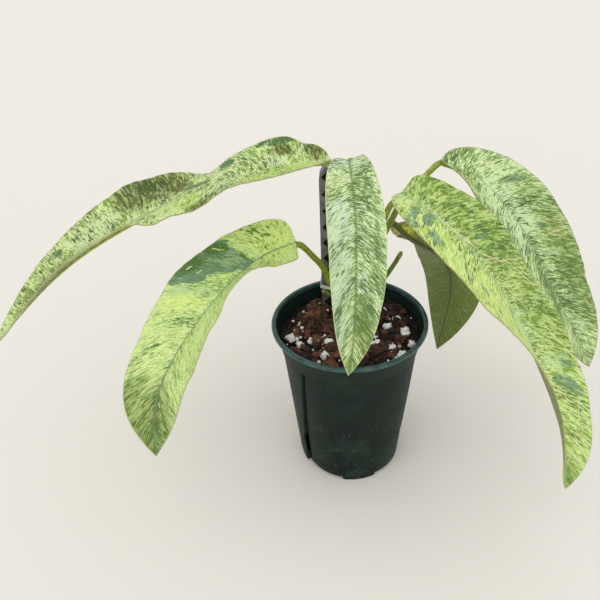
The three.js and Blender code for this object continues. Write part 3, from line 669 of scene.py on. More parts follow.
pole = pole_block("lattice_pole", 0, POLE_DEPTH)
cut_away(pole, pole_block("hollow", POLE_WALL, POLE_DEPTH - 2 * POLE_WALL))
column_gap = (POLE_WIDTH - 2 * POLE_EDGE) / (DIAMOND_COLUMNS + 1)
openings = []
for column in range(DIAMOND_COLUMNS):
    x = POLE_CENTRE_X + (column - (DIAMOND_COLUMNS - 1) / 2) * column_gap
    z = DIAMOND_LEVELS[0] + (column % 2) * DIAMOND_PITCH / 2
    while z <= DIAMOND_LEVELS[1] + 1e-6:
        bpy.ops.mesh.primitive_cylinder_add(vertices=4, radius=1, depth=3 * POLE_DEPTH)
        opening = bpy.context.object
        opening.rotation_euler = (math.radians(90), 0, 0)
        bpy.ops.object.transform_apply()
        opening.scale = (column_gap - DIAMOND_STRUT / 2, 1, DIAMOND_PITCH / 2 - DIAMOND_STRUT * 0.7)
        opening.location = (x, POLE_FRONT_Y, z)
        bpy.ops.object.transform_apply()
        openings.append(opening)
        z += DIAMOND_PITCH
cut_away(pole, join_pieces(openings, "openings"))
round_edges(pole, 0.3 * MM, 35)
smooth_by_angle(pole, 35)
tree = new_finish(pole, "grey lattice plastic", 0.55)
place = object_coordinates(tree)
scuffs = noise_mask(tree, place, 160, 4, 0.6)
colour = tinted(tree, "67666c", scuffs, 0.35, 0.7, "85838b")
colour = tinted(tree, colour, height_of(tree, place), *POLE_SOILED, "4c463f")
dress(tree, colour, noise_mask(tree, place, 1200, 2), 0.04 * MM, 0.5)
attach(pole, "root")
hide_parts("pole_shell")

# Pole filling
# Dark sphagnum moss and coir, packed into the pole by hand, with loose fibres that cross the diamond
# openings. The shell holds it in place.
FIBRES = 260
FIBRE_SPREAD = (15, 16.5 * MM)
FIBRE_LEVELS = (104, 238)
FIBRE_LIMITS = (100 * MM, 244 * MM)
FIBRE_RADII = (0.12, 0.28)
moss = pole_block("moss_filling", POLE_WALL + 0.4 * MM, POLE_DEPTH - 2 * POLE_WALL - 0.8 * MM)
bpy.ops.object.mode_set(mode="EDIT")
bpy.ops.mesh.select_all(action="SELECT")
bpy.ops.mesh.quads_convert_to_tris()
bpy.ops.object.mode_set(mode="OBJECT")
apply_modifier(moss, "REMESH", mode="VOXEL", voxel_size=0.9 * MM)
for vertex in moss.data.vertices:
    lump = noise.fractal(vertex.co * 320, 0.8, 2.1, 4)
    centre_y = POLE_FRONT_Y + POLE_DEPTH / 2
    vertex.co.y = centre_y + (vertex.co.y - centre_y) * (0.86 + 0.22 * lump)


def smooth_route(points, steps):
    """Points along a smooth curve through the given ones, evenly many between each two."""
    points = [Vector(p) for p in points]
    ends = [points[0] * 2 - points[1]] + points + [points[-1] * 2 - points[-2]]
    route = []
    for step in range(steps + 1):
        place = step / steps * (len(points) - 1)
        i = min(int(place), len(points) - 2)
        p0, p1, p2, p3 = ends[i:i + 4]
        t0 = max((p1 - p0).length ** 0.5, 1e-6)
        t1 = max((p2 - p1).length ** 0.5, 1e-6)
        t2 = max((p3 - p2).length ** 0.5, 1e-6)
        start = ((p1 - p0) / t0 - (p2 - p0) / (t0 + t1) + (p2 - p1) / t1) * t1
        end = ((p2 - p1) / t1 - (p3 - p1) / (t1 + t2) + (p3 - p2) / t2) * t1
        f = place - i
        cubic = (p1 - p2) * 2 + start + end
        square = (p2 - p1) * 3 - start * 2 - end
        route.append(p1 + start * f + square * f * f + cubic * f ** 3)
    return route


def make_rod(name, route, radii, sides, shape=None):
    """A closed rod along the route. Shape gives a factor on the radius for each angle and step."""
    count = len(route)
    tangents = [(route[min(i + 1, count - 1)] - route[max(i - 1, 0)]).normalized() for i in range(count)]
    side = tangents[0].orthogonal().normalized()
    sides_at = []
    for tangent in tangents:
        side = (side - tangent * side.dot(tangent)).normalized()
        sides_at.append(side.copy())

    def rod_point(column, row):
        step = min(max(row - 1, 0), count - 1)
        if row in (0, count + 1):
            return route[step]
        angle = 2 * math.pi * column / sides
        other = tangents[step].cross(sides_at[step])
        outward = sides_at[step] * math.cos(angle) + other * math.sin(angle)
        factor = shape(outward, step) if shape else 1
        return route[step] + outward * radii[step] * factor

    rod = shaped_sheet(name, sides, count + 1, rod_point)
    close_up(rod)
    return rod


fibre_random = random.Random(11)
fibres_made = []
for k in range(FIBRES):
    front = k % 2 == 0
    face_y = POLE_FRONT_Y + (1.3 * MM if front else POLE_DEPTH - 1.3 * MM)
    start_x = POLE_CENTRE_X + fibre_random.uniform(-FIBRE_SPREAD[0], FIBRE_SPREAD[0]) * MM
    start = Vector((start_x, face_y, fibre_random.uniform(*FIBRE_LEVELS) * MM))
    heading = fibre_random.uniform(0, FULL_TURN)
    points = [start]
    for _ in range(3):
        heading += fibre_random.uniform(-0.7, 0.7)
        reach = fibre_random.uniform(2, 4) * MM
        wander = fibre_random.uniform(-0.7, 0.7) * MM
        following = points[-1] + Vector((math.cos(heading) * reach, 0, math.sin(heading) * reach))
        following.y = face_y + wander
        following.x = max(following.x, POLE_CENTRE_X - FIBRE_SPREAD[1])
        following.x = min(following.x, POLE_CENTRE_X + FIBRE_SPREAD[1])
        following.z = min(max(following.z, FIBRE_LIMITS[0]), FIBRE_LIMITS[1])
        points.append(following)
    thickness = fibre_random.uniform(*FIBRE_RADII) * MM
    fibres_made.append(make_rod("fibre", smooth_route(points, 6), [thickness] * 7, 3))
moss = join_pieces([moss] + fibres_made, "moss_filling")
smooth_by_angle(moss, 50)
tree = new_finish(moss, "dark moss and coir", 0.95)
place = object_coordinates(tree)
strands = noise_mask(tree, place, 1500, 4, 0.7)
colour = tinted(tree, "0d0c0a", strands, 0.4, 0.75, "3a2c1e")
colour = tinted(tree, colour, noise_mask(tree, place, 220, 3), 0.55, 0.75, "2c2a1a")
dress(tree, colour, strands, 0.5 * MM)
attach(moss, "root")
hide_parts("pole_core")

# Stem
# The green vine, climbing up the front of the pole. It is thicker at its nodes, each with the ring of an
# old leaf scar. It sends out short brown aerial roots and one young green shoot under the tie, and keeps
# the stub of one leaf stalk that was cut off.
STEM_POINTS = [(-3, 24.8, 82), (-2, 24.8, 120), (0, 24.8, 165), (2, 24.8, 205), (2, 24.6, 229)]
STEM_RADIUS = (4.3, 3.6)
STEM_SWELLING = 0.55
STEM_NODES = (0.34, 0.44, 0.5, 0.58, 0.67, 0.8, 0.95)
NODE_SPREAD = 0.018
SCAR_PLACE = 0.006
SCAR_SPREAD = 0.0035
SCAR_DEPTH = 0.28
TIP_SHARE = 0.965
STUB_POINTS = [
    (-1, 24.8, 132), (10, 22, 138), (20, 21.5, 148), (28.3, 22, 161), (33.5, 19, 172.5), (38.5, 16, 185),
]
STUB_STEPS = 30
SHOOT_POINTS = [
    (-2, 24.5, 133), (-10, 25, 136), (-15.5, 26.3, 139.6), (-19, 27.3, 141.7), (-22.3, 27.8, 142.2),
]
SHOOT_STEPS = 24
AERIAL_ROOTS = [
    [(0, 25, 174), (-7, 26.6, 171), (-10.5, 27.3, 164), (-11, 27.4, 159)],
    [(1, 25, 197), (-7, 26.8, 195), (-11, 27.4, 188), (-11.6, 27.5, 182)],
]
ROOT_STEPS = 18
STEM_STEPS = 150
SHOOT_TIP_X = (-19.5 * MM, -21.5 * MM)


def in_metres(points):
    return [Vector(p) * MM for p in points]


stem_radii = []
for step in range(STEM_STEPS + 1):
    share = step / STEM_STEPS
    swelling = sum(math.exp(-(((share - place) / NODE_SPREAD) ** 2)) for place in STEM_NODES)
    scar = sum(math.exp(-(((share - place - SCAR_PLACE) / SCAR_SPREAD) ** 2)) for place in STEM_NODES)
    rounding = math.sqrt(max(1 - ((share - TIP_SHARE) / 0.035) ** 2, 0)) if share > TIP_SHARE else 1
    radius = between(STEM_RADIUS[0], STEM_RADIUS[1], share) + STEM_SWELLING * swelling - SCAR_DEPTH * scar
    stem_radii.append(radius * rounding * MM)
stem_route = smooth_route(in_metres(STEM_POINTS), STEM_STEPS)
stem_parts = [make_rod("vine_stem", stem_route, stem_radii, 24)]
stub_radii = [between(2.1, 1.7, k / STUB_STEPS) * MM for k in range(STUB_STEPS + 1)]
stub_radii[-3:] = [stub_radii[-3] * 1.05, stub_radii[-3] * 1.02, stub_radii[-3] * 0.7]
stem_parts.append(make_rod("cut_stalk", smooth_route(in_metres(STUB_POINTS), STUB_STEPS), stub_radii, 16))


def tapered_rod(name, points, steps, thick, thin, end, sides):
    """A rod through the points, in mm, that tapers from thick to thin. End draws in its last ring."""
    radii = [between(thick, thin, k / steps) * (1 if k < steps else end) * MM for k in range(steps + 1)]
    return make_rod(name, smooth_route(in_metres(points), steps), radii, sides)


stem_parts.append(tapered_rod("young_shoot", SHOOT_POINTS, SHOOT_STEPS, 1.7, 1.5, 0.6, 12))
vine_stem = join_pieces(stem_parts, "vine_stem")
smooth_by_angle(vine_stem, 50)
tree = new_finish(vine_stem, "green vine skin", 0.42)
place = object_coordinates(tree)
stretched = add_node(tree, "ShaderNodeMapping", {"Vector": place, "Scale": (1, 1, 0.12)})
lines = noise_mask(tree, stretched.outputs["Vector"], 900, 3)
colour = tinted(tree, "5c7a24", lines, 0.35, 0.7, "8da63f")
colour = tinted(tree, colour, noise_mask(tree, place, 90, 3), 0.5, 0.72, "6b6a2c")
sideways = add_node(tree, "ShaderNodeSeparateXYZ", {"Vector": place}).outputs["X"]
colour = tinted(tree, colour, sideways, *SHOOT_TIP_X, "a3957c")
dress(tree, colour, lines, 0.12 * MM, 0.7)
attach(vine_stem, "root")
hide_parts("stem")

root_parts = []
for points in AERIAL_ROOTS:
    root_parts.append(tapered_rod("aerial_root", points, ROOT_STEPS, 1.7, 0.8, 0.5, 10))
aerial_roots = join_pieces(root_parts, "aerial_roots")
smooth_by_angle(aerial_roots, 60)
tree = new_finish(aerial_roots, "brown aerial root", 0.8)
skin = noise_mask(tree, object_coordinates(tree), 700, 4, 0.6)
colour = tinted(tree, "5f4a2c", skin, 0.35, 0.7, "98805a")
dress(tree, colour, skin, 0.2 * MM)
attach(aerial_roots, "root")

# Tie
# One band of soft white plant tape, thin enough to bend by hand. It is drawn tight round the pole and the
# stem a little above the mix, and holds the one to the other.
TIE_LEVEL = 144.2 * MM
TIE_HEIGHT = 3.4 * MM
TIE_THICKNESS = 0.8 * MM
TIE_GAP = 0.3 * MM
TIE_ROWS = 6
TIE_STEPS = 6
STEM_ROOM = 0.9
reach = (STEM_RADIUS[0] + STEM_ROOM) * MM + TIE_THICKNESS / 2
share = (TIE_LEVEL / MM - STEM_POINTS[0][2]) / (STEM_POINTS[-1][2] - STEM_POINTS[0][2])
stem_at = stem_route[round(share * STEM_STEPS)]
out = TIE_GAP + TIE_THICKNESS / 2
left = POLE_CENTRE_X - POLE_WIDTH / 2 - out
right = POLE_CENTRE_X + POLE_WIDTH / 2 + out
front = POLE_FRONT_Y - out
back = POLE_FRONT_Y + POLE_DEPTH + out
corners = [Vector((left, front, 0))]
for turn in range(-150, -29, 12):
    around = Vector((math.cos(math.radians(turn)), math.sin(math.radians(turn)), 0))
    corners.append(Vector((stem_at.x, stem_at.y, 0)) + around * reach)
corners += [Vector((right, front, 0)), Vector((right, back, 0)), Vector((left, back, 0))]
loop = []
for corner, following in zip(corners, corners[1:] + corners[:1]):
    for k in range(TIE_STEPS):
        loop.append(corner.lerp(following, k / TIE_STEPS))


def tie_point(column, row):
    """A place on the band, which bulges a little between its edges."""
    spot = loop[column % len(loop)]
    crown = 0.12 * MM * math.sin(math.pi * row / TIE_ROWS)
    outward = Vector((spot.x - POLE_CENTRE_X, spot.y - POLE_FRONT_Y - POLE_DEPTH / 2, 0)).normalized()
    z = TIE_LEVEL + TIE_HEIGHT * (0.03 + 0.94 * row / TIE_ROWS)
    return spot + outward * crown + Vector((0, 0, z))


tie = shaped_sheet("tape_tie", len(loop), TIE_ROWS, tie_point)
close_up(tie)
apply_modifier(tie, "SOLIDIFY", thickness=TIE_THICKNESS * 0.8, offset=0)
round_edges(tie, 0.15 * MM, 50)
smooth_by_angle(tie, 50)
tree = new_finish(tie, "white plant tape", 0.6)
place = object_coordinates(tree)
bands = {"Vector": place, "Scale": 700, "Distortion": 1.5}
weave = add_node(tree, "ShaderNodeTexWave", bands, bands_direction="Z").outputs["Fac"]
colour = tinted(tree, "e4e4e0", noise_mask(tree, place, 260, 3), 0.45, 0.8, "b9b5aa")
dress(tree, colour, weave, 0.08 * MM, 0.6)
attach(tie, "root")
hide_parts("tie")

# Leaves
# Six long entire leaves, each grown in one piece with its grooved stalk and a midrib that is sunk above and
# raised below. The blades are leathery, and marbled along their side veins in yellow green, mint and dark
# green.
USUAL_LEAF = {
    "slot": "leaf_marbled", "vein_lean": 1, "stout": 1, "dullness": 0.8, "ragged": 1, "mint_share": -0.03,
    "dash_share": 0, "pale": "f6fad0", "scars": [],
}
UNDERSIDE_TINT = "667430"
SHIFTED_COLOURS = ("Light", "Pale", "Mid", "Mint", "Dark", "Deep", "Rib", "Margin")
# Bright holds the painted light and Olive the painted shade, so the underside keeps both unshifted.
KEPT_COLOURS = ("Bright", "Olive")
LEAF_SHARES = ("Mint Share", "Dash Share", "Ragged")
BLADE_THICKNESS = 0.7 * MM
BLADE_COLUMNS = 56
BLADE_ROWS = 230
FOLD_CURVE = 1.3
LOBE_SHARE = 0.12
QUILT_HEIGHT = 0.16
MARGIN_WAVE = 1.1
RIB_GROOVE = (0.55, 1.3)
STALK_RADIUS = (2.7, 1.9)
STALK_STEPS = 46
STALK_GROOVE = 0.32
RIDGES_PER_CM = 2.2
RIB_END_RADIUS = 0.5
SIDE_VEIN_SLANTS = (0.0, 0.3, 0.55, 0.95, 1.7)
SIDE_VEIN_BEND = 0.3
# A leaf has its sizes in mm, and its headings, pitches, rolls and folds in degrees at even steps. A mark is
# its distance from the midrib, the place on the midrib where its side vein starts, and its half lengths
# along and across the vein. A scar is a line on the flat leaf and its colour.
# The olive marks are painted shade, where a blade turns away from the light. The bright and yellow marks
# are painted light; on leaf F's lobe they are also its own yellowing.
LEAVES = {
    "leaf_a": {
        "length": 286.1, "half_width": 30.06, "widest": 0.38, "base_round": 1.9, "tip_round": 2.14,
        "lobes": (0.005, 0.005), "left_share": 0.96, "vein_lean": 0.3, "base": (-14, 16, 259),
        "heading": (197.2, 209.7, 183, 197.2, 195.3, 175.5),
        "pitch": (3.5, -3.1, -25.3, -28.3, -42.8, -49), "roll": (-5.2, 12.7, -17.9, -24.1, -2.5, 30.5),
        "fold_right": (56.4, -13.7, 48.8, 31.1, 6.7), "fold_left": (7.4, 24.8, -6.1, 13, 14.3),
        "ripples": [
            ("left", 0.524, 0.07, 1.3), ("right", 0.439, 0.05, -4.6), ("right", 0.096, 0.05, 4),
            ("left", 0.614, 0.05, 1.2), ("left", 0.341, 0.06, -11.4), ("right", 0.425, 0.08, 7.8),
            ("right", 0.057, 0.022, -5.7), ("left", 0.418, 0.04, -6.6),
        ],
        "stalk": [(2, 25, 216), (-5, 25.5, 223), (-11, 26, 238), (-14.5, 22.5, 254)],
        "light": "d2e896", "mid": "88aa50", "mint": "cfe3ac", "dark": "46572a", "deep": "587c4a",
        # Painted light: leaf A's underside is kept nearly as light as its upper face, and its stalk lighter
        # than the others', where both face down into shade.
        "rib": "c4d8ae", "margin": "a5aa6c", "bright": "bcd862", "olive": "948e62", "dullness": 0.1,
        "stalk_tones": ("9dab48", "cbd072"), "rib_width": 1, "mint_share": 0.01, "dash_share": 0.01,
        "ragged": 0.6,
        "marks": {
            "dark": [
                (8, 8, 8, 7), (2, 55, 1.5, 2.5), (23, 132, 3.5, 4), (15, 132, 3.5, 6), (19, 147, 3, 4),
                (26, 116, 4.5, 3), (24, 100, 5, 3), (20, 128, 9, 26), (12, 156, 4, 2.5), (8, 159, 3, 2),
                (14, 168, 2.5, 3), (13, 179, 3, 3),
            ],
            "deep": [
                (18, 27, 2.5, 9.5), (21, 37, 2, 5), (22, 63, 4.5, 6.5), (9, 93, 4, 11), (16, 197, 3, 5.5),
            ],
            "mint": [(7, 36, 6, 8), (-3, 118, 2.5, 12), (12, 168, 12, 16)],
            "bright": [(-11, 32, 8, 20), (-20, 61, 12, 11), (-16, 98, 10, 14)],
            "olive": [
                (9, 8, 9, 8), (12, 29, 4, 7), (-27, 86, 5, 8), (20, 112, 14, 16), (20, 133, 13, 15),
                (-8, 208, 16, 46),
            ],
        },
    },
    "leaf_b": {
        "length": 188.1, "half_width": 32.48, "widest": 0.38, "base_round": 2.8, "tip_round": 3.03,
        "lobes": (0.034, 0.034), "left_share": 1.07, "stout": 1.12, "base": (-38, -8, 207),
        "heading": (190.1, 219.6, 213.6, 250.6, 285.1), "pitch": (-12.6, -26.5, -45.7, -37.5, -57.9),
        "roll": (31.5, -11.8, 3.9, -4.9, 19.1), "fold_right": (12.9, 37.6, 17.3, 25.5),
        "fold_left": (22.7, 24.8, 19, 35),
        "ripples": [("right", 0.405, 0.06, 2.8), ("left", 0.388, 0.06, -2.6)],
        "stalk": [
            (-1, 24.8, 151), (-8, 25, 151), (-14.4, 24.5, 151.3), (-17, 23.5, 156), (-18.6, 21.4, 163.7),
            (-22.4, 16, 174.9), (-27.3, 9, 185.5), (-31.7, 0.5, 196.7), (-34.8, -4, 202.6),
        ],
        "light": "def29c", "mid": "aed074", "mint": "b8d49e", "dark": "5d7f42", "deep": "789878",
        "rib": "6f8f72", "margin": "b2b878", "bright": "e6f98c", "olive": "7e8854",
        "stalk_tones": ("7d9430", "b4c04a"), "rib_width": 1.6, "dash_share": -0.01, "ragged": 0.35,
        "marks": {
            "dark": [
                (17.5, 36.7, 1, 0.8), (27, 32, 6, 4), (30, 47, 5, 8), (17, 16, 6, 3.5), (4, 184, 24, 22),
                (9, 32, 3, 2), (26, 83, 3, 2.5), (12, 92, 7, 3),
            ],
            "deep": [
                (3, 37, 6, 6), (11, 40, 8, 9.5), (20, 41, 8, 12.5), (28, 40, 7, 15), (29, 53, 6, 10),
                (23, 56, 7, 5),
            ],
            "mint": [(13, 38, 6, 6), (18, 66, 12, 4)],
            "bright": [(17, 75, 14, 7)],
            "olive": [(4, 176, 30, 40), (20, 134, 10, 12)],
            "yellow": [(5, 10, 22, 16)],
        },
        "scars": [
            ((28.8, 45.5), (22.1, 41), "dfe9a2"), ((29.6, 67), (28.4, 63.6), "e4ecc0"),
            ((23.1, 64.7), (22.3, 60.9), "e4ecc0"), ((10.1, 64.7), (8.1, 55.3), "dde79c"),
            ((23.4, 123.4), (22.9, 129.4), "dccba8"), ((22.9, 129.4), (24.6, 139.2), "dccba8"),
            ((-2.5, 152), (-4.1, 155.4), "e9eed2"),
        ],
    },
    "leaf_c": {
        "length": 167, "half_width": 21, "widest": 0.48, "base_round": 1.97, "tip_round": 2.77,
        "lobes": (0.025, 0.025), "left_share": 0.94, "base": (0, 19, 257),
        "heading": (-91, -84, -89, -96, -116), "pitch": (21, -29, -60, -68, -65),
        "roll": (-8, -4, 13, 24, 23), "fold_right": (18, 19, 20, 20), "fold_left": (20, 18, 15, 15),
        "ripples": [("left", 0.2, 0.06, 1.5), ("right", 0.5, 0.08, 1.5), ("left", 0.75, 0.06, -1.5)],
        "stalk": [(2, 24.6, 224), (4, 26, 236), (3, 26.5, 249), (0.6, 23.5, 255.5)],
        "slot": "leaf_mint", "light": "d8eeb4", "mid": "8eaa5e", "mint": "cbe2c2", "dark": "607c42",
        "deep": "6c8c62", "rib": "5f7f48", "margin": "ccd9a0", "bright": "dcec9c", "olive": "a8b070",
        "stalk_tones": ("6d8326", "a3b040"), "rib_width": 1.5, "dash_share": 0.03,
        "marks": {
            "dark": [(-7, 56, 6, 3), (-2, 65, 2, 8), (-8, 127, 6, 12), (15, 118, 4, 14), (-9, 75, 9, 50)],
            "mint": [(9, 14, 9, 8), (13, 62, 11, 18), (14, 90, 10, 24), (13, 127, 5, 26), (-5, 99, 4, 8)],
            "bright": [(12, 35, 7, 5)],
            "olive": [(-1, 158, 12, 8), (-7, 130, 8, 18)],
        },
    },
    "leaf_d": {
        "length": 267, "half_width": 32, "widest": 0.4, "base_round": 2.55, "tip_round": 3.17,
        "lobes": (0.051, 0), "left_share": 0.99, "stout": 1.12, "base": (33.8, -5.4, 244),
        "heading": (-57, -24.3, -23.2, -44.9, -46.6), "pitch": (3.9, -42.6, -58.7, -62, -83.7),
        "roll": (-9.4, -12.3, -2.6, 3.3, -32.3), "fold_right": (16.1, 10.9, 34.8, 44.6),
        "fold_left": (20.5, 10.1, 27.9, 40),
        "ripples": [
            ("left", 0.27, 0.05, 2.5), ("right", 0.35, 0.07, -2), ("left", 0.55, 0.06, 2),
            ("left", 0.8, 0.05, -2),
        ],
        "stalk": [
            (1, 24.8, 172), (8, 22, 177), (17, 19.5, 187), (23, 19, 195), (26.8, 18.8, 203),
            (30.5, 14, 214.5), (32.9, 6, 226.5), (33.6, -2, 238),
        ],
        "light": "d4ec94", "mid": "8cb04c", "mint": "c6dfa4", "dark": "4f6e34", "deep": "7b9b74",
        "rib": "aac49a", "margin": "a8a864", "bright": "d6ec80", "olive": "c2cca4",
        "stalk_tones": ("6d8326", "a3b040"), "rib_width": 1.3, "mint_share": -0.05,
        "marks": {
            "dark": [(-14, 34, 6, 4), (-16, 44, 6, 3), (-16, 70, 8, 3), (-13, 54, 11, 4), (8, 55, 4, 7)],
            "deep": [
                (-12, 60, 4, 2), (8, 22, 5, 3.5), (20, 23, 10, 3), (7, 32, 7, 4), (20, 27, 3, 1.5),
                (17.5, 40, 5, 6), (19, 78, 2, 4.5), (-21, 155, 4, 3), (-16, 172, 9, 6),
            ],
            "mint": [(19, 24, 4, 1.5), (15, 41, 2, 2.5), (-12, 160, 10, 7), (14, 136, 20, 30)],
            "bright": [(20, 68, 16, 60)],
            "olive": [(-18, 56, 20, 60), (-22, 120, 14, 40), (2, 248, 20, 14)],
        },
        "scars": [
            ((-1.7, 26.7), (-0.4, 47.5), "e6dcae"), ((-0.4, 47.5), (-3.1, 67.8), "e6dcae"),
            ((-3.1, 73.7), (-18.7, 91.8), "e6cfae"), ((-18.7, 91.8), (-28, 113.2), "e6cfae"),
            ((-2.4, 91.8), (-12.4, 126), "e3dba0"), ((-18.6, 144.2), (-29.3, 176.8), "e0dca4"),
            ((-1.9, 170.9), (-12.3, 198.6), "e3cfa4"), ((-18.9, 200.8), (-11.9, 218.9), "e3d4ac"),
            ((-11.9, 218.9), (-12.7, 225.9), "c79a72"), ((-12.7, 225.9), (-7.8, 229.1), "e3d4ac"),
            ((-7.8, 229.1), (2.1, 247.8), "e3d4ac"), ((29.5, 131.9), (28.5, 150), "9c6b48"),
        ],
    },
    "leaf_e": {
        "length": 209, "half_width": 30, "widest": 0.48, "base_round": 2.15, "tip_round": 2.91,
        "lobes": (0.007, 0.007), "left_share": 1.02, "base": (66, 40, 248),
        "heading": (-12, -29, -24, -17, -24), "pitch": (-13, -41, -57, -58, -63),
        "roll": (-10, -31, -28, -23, -36), "fold_right": (27, 22, 22, 23), "fold_left": (31, 28, 26, 30),
        "ripples": [("left", 0.3, 0.07, 2), ("right", 0.45, 0.07, -2), ("left", 0.68, 0.06, -2)],
        "stalk": [
            (1, 24.8, 184), (10, 25.5, 188), (19, 26.5, 196), (25, 27.5, 206), (30.2, 30, 217.3),
            (37.5, 32, 222.7), (45.4, 34, 229.2), (55.4, 37, 237.7), (61.8, 39, 243.9),
        ],
        "slot": "leaf_mint", "light": "daf0ae", "mid": "9ab468", "mint": "d4eab8", "dark": "5c7a42",
        "deep": "6a8a60", "rib": "8aa884", "margin": "96955c", "bright": "d6ec80", "olive": "c4cca8",
        "stalk_tones": ("7d9430", "b4c04a"), "rib_width": 0.8, "mint_share": 0, "dash_share": 0.04,
        "marks": {
            "dark": [(-9, 10, 9, 5), (-12, 135, 14, 30), (2, 121, 10, 30), (2, 3, 5, 3)],
            "deep": [(-16, 41, 10, 3), (-13, 77, 4, 2.5)],
            "mint": [(2, 61, 14, 30)],
            "olive": [(-20, 109, 10, 60)],
        },
        "scars": [
            ((-12.4, 92.8), (-27, 95.3), "e0cba0"), ((-19.6, 155.9), (-20.7, 165.1), "dcb698"),
        ],
    },
    "leaf_f": {
        "length": 179.9, "half_width": 29.6, "widest": 0.465, "base_round": 1.13, "tip_round": 2.31,
        "lobes": (0.017, 0.017), "left_share": 1, "base": (35.4, 33, 200),
        "heading": (19.8, 44, 47.4, 46.3, 41.3), "pitch": (-50.5, -37.3, -61, -100.4, -105.3),
        "roll": (51.5, 12.2, 14.5, 11.6, 8.6), "fold_right": (12, 12, 12, 12),
        "fold_left": (10, 9, 10, 11),
        "ripples": [("left", 0.3, 0.07, 2), ("right", 0.5, 0.07, -2)],
        "stalk": [
            (0, 24.8, 158), (9, 25.4, 168), (16, 26.6, 180), (21.5, 28, 190), (27, 30.2, 198),
            (32.4, 31.8, 200.8),
        ],
        "slot": "leaf_olive", "light": "a9c468", "mid": "8aa850", "mint": "b0cc8a", "dark": "5c7838",
        "deep": "67845a", "rib": "8a8f5c", "margin": "84844a", "bright": "f4f26a", "olive": "c8cca8",
        "dullness": 0.7, "stalk_tones": ("505a2e", "64703a"), "rib_width": 1.2, "ragged": 0.6,
        "marks": {
            "mint": [(-28, 60, 11, 15)],
            "bright": [(-6, 9, 14, 14), (-10, 12, 8, 9)],
            "yellow": [(0, 10, 7, 6), (-9, 10, 9, 8)],
            "dead": [(-10, 17, 4, 2), (-3, 5, 1.6, 1.6), (8, 16, 2, 2)],
        },
        "scars": [
            ((12.9, 134.2), (16.5, 134.9), "b9b98c"),
        ],
    },
}


def smooth_value(values, share):
    """A smooth value between ones that lie at even steps from 0 to 1."""
    last = len(values) - 1
    place = min(max(share, 0), 1) * last
    i = min(int(place), last - 1)
    f = place - i
    p0 = values[max(i - 1, 0)]
    p1 = values[i]
    p2 = values[i + 1]
    p3 = values[min(i + 2, last)]
    square = 2 * p0 - 5 * p1 + 4 * p2 - p3
    return p1 + 0.5 * f * (p2 - p0 + f * (square + f * (3 * (p1 - p2) + p3 - p0)))


def midrib_frames(leaf):
    """The midrib from base to tip, with its directions at each row. Rows are closer at both ends."""
    frames = []
    spot = Vector(leaf["base"]) * MM
    for row in range(BLADE_ROWS + 1):
        even = row / BLADE_ROWS
        share = 0.15 * even + 0.85 * even * even * (3 - 2 * even)
        heading = math.radians(smooth_value(leaf["heading"], share))
        pitch = math.radians(smooth_value(leaf["pitch"], share))
        roll = math.radians(smooth_value(leaf["roll"], share))
        flat = math.cos(pitch)
        along = Vector((flat * math.cos(heading), flat * math.sin(heading), math.sin(pitch)))
        level = Vector((math.sin(heading), -math.cos(heading), 0))
        if frames:
            step = (share - frames[-1]["share"]) * leaf["length"] * MM
            spot = spot + (frames[-1]["along"] + along) * step / 2
        up = level.cross(along)
        right = level * math.cos(roll) + up * math.sin(roll)
        normal = up * math.cos(roll) - level * math.sin(roll)
        frames.append({"share": share, "spot": spot, "along": along, "right": right, "normal": normal})
    return frames


def width_share(leaf, share):
    """The blade's width at a place along it, as a share of its greatest width."""
    widest = leaf["widest"]
    if share < widest:
        return math.sqrt(max(1 - ((widest - share) / widest) ** leaf["base_round"], 0))
    return max(1 - ((share - widest) / (1 - widest)) ** leaf["tip_round"], 0)


def vein_start(leaf, share, reach):
    """How far along the midrib, in mm, the side vein through this place starts."""
    length = leaf["length"]
    start = share * length
    for _ in range(4):
        slant = smooth_value(SIDE_VEIN_SLANTS, start / length)
        slant += SIDE_VEIN_BEND * reach / leaf["half_width"]
        start = share * length - slant * reach * leaf["vein_lean"]
    return start


def blade_point(leaf, frame_at, across):
    """A place half way through the blade, with its folds, ripples, quilting and uneven margin."""
    is_left = across < 0
    share = frame_at["share"]
    width = width_share(leaf, share)
    reach = leaf["half_width"] * width * (leaf["left_share"] if is_left else 1)
    fold = math.radians(smooth_value(leaf["fold_left" if is_left else "fold_right"], share))
    part = abs(across)
    lobe = leaf["lobes"][0 if is_left else 1] * leaf["length"]
    back = lobe * math.sin(math.pi * min(share / LOBE_SHARE, 1)) * part
    lift = reach * math.sin(fold) * part ** FOLD_CURVE
    for half, centre, spread, height in leaf["ripples"]:
        if (half == "left") == is_left:
            lift += height * width * part ** 2 * math.exp(-(((share - centre) / spread) ** 2))
    start = vein_start(leaf, share, part * reach)
    quilting = math.sin(start * 0.9 + 2 * math.sin(across * 3 + leaf["seed"]))
    lift += QUILT_HEIGHT * width * min(part * 4, 1) * quilting
    margin = noise.noise(Vector((share * 16, leaf["seed"] * 5.3, 2 if is_left else 7)))
    lift += MARGIN_WAVE * margin * width * part ** 4
    lift -= RIB_GROOVE[0] * math.exp(-((part * reach / RIB_GROOVE[1]) ** 2)) * min(width * 2, 1)
    point = frame_at["spot"] + frame_at["right"] * reach * math.cos(fold) * across * MM
    return point + frame_at["normal"] * lift * MM - frame_at["along"] * back * MM


def mark_strength(leaf, kind, reach, start):
    """How strongly the marks of one kind colour a place on the blade, soft at their edges."""
    strongest = 0
    for across, along, half_across, half_along in leaf["marks"].get(kind, ()):
        away = math.hypot((reach - across) / half_across, (start - along) / half_along)
        strongest = max(strongest, 1 - eased(0.5, 1.4, away))
    return strongest


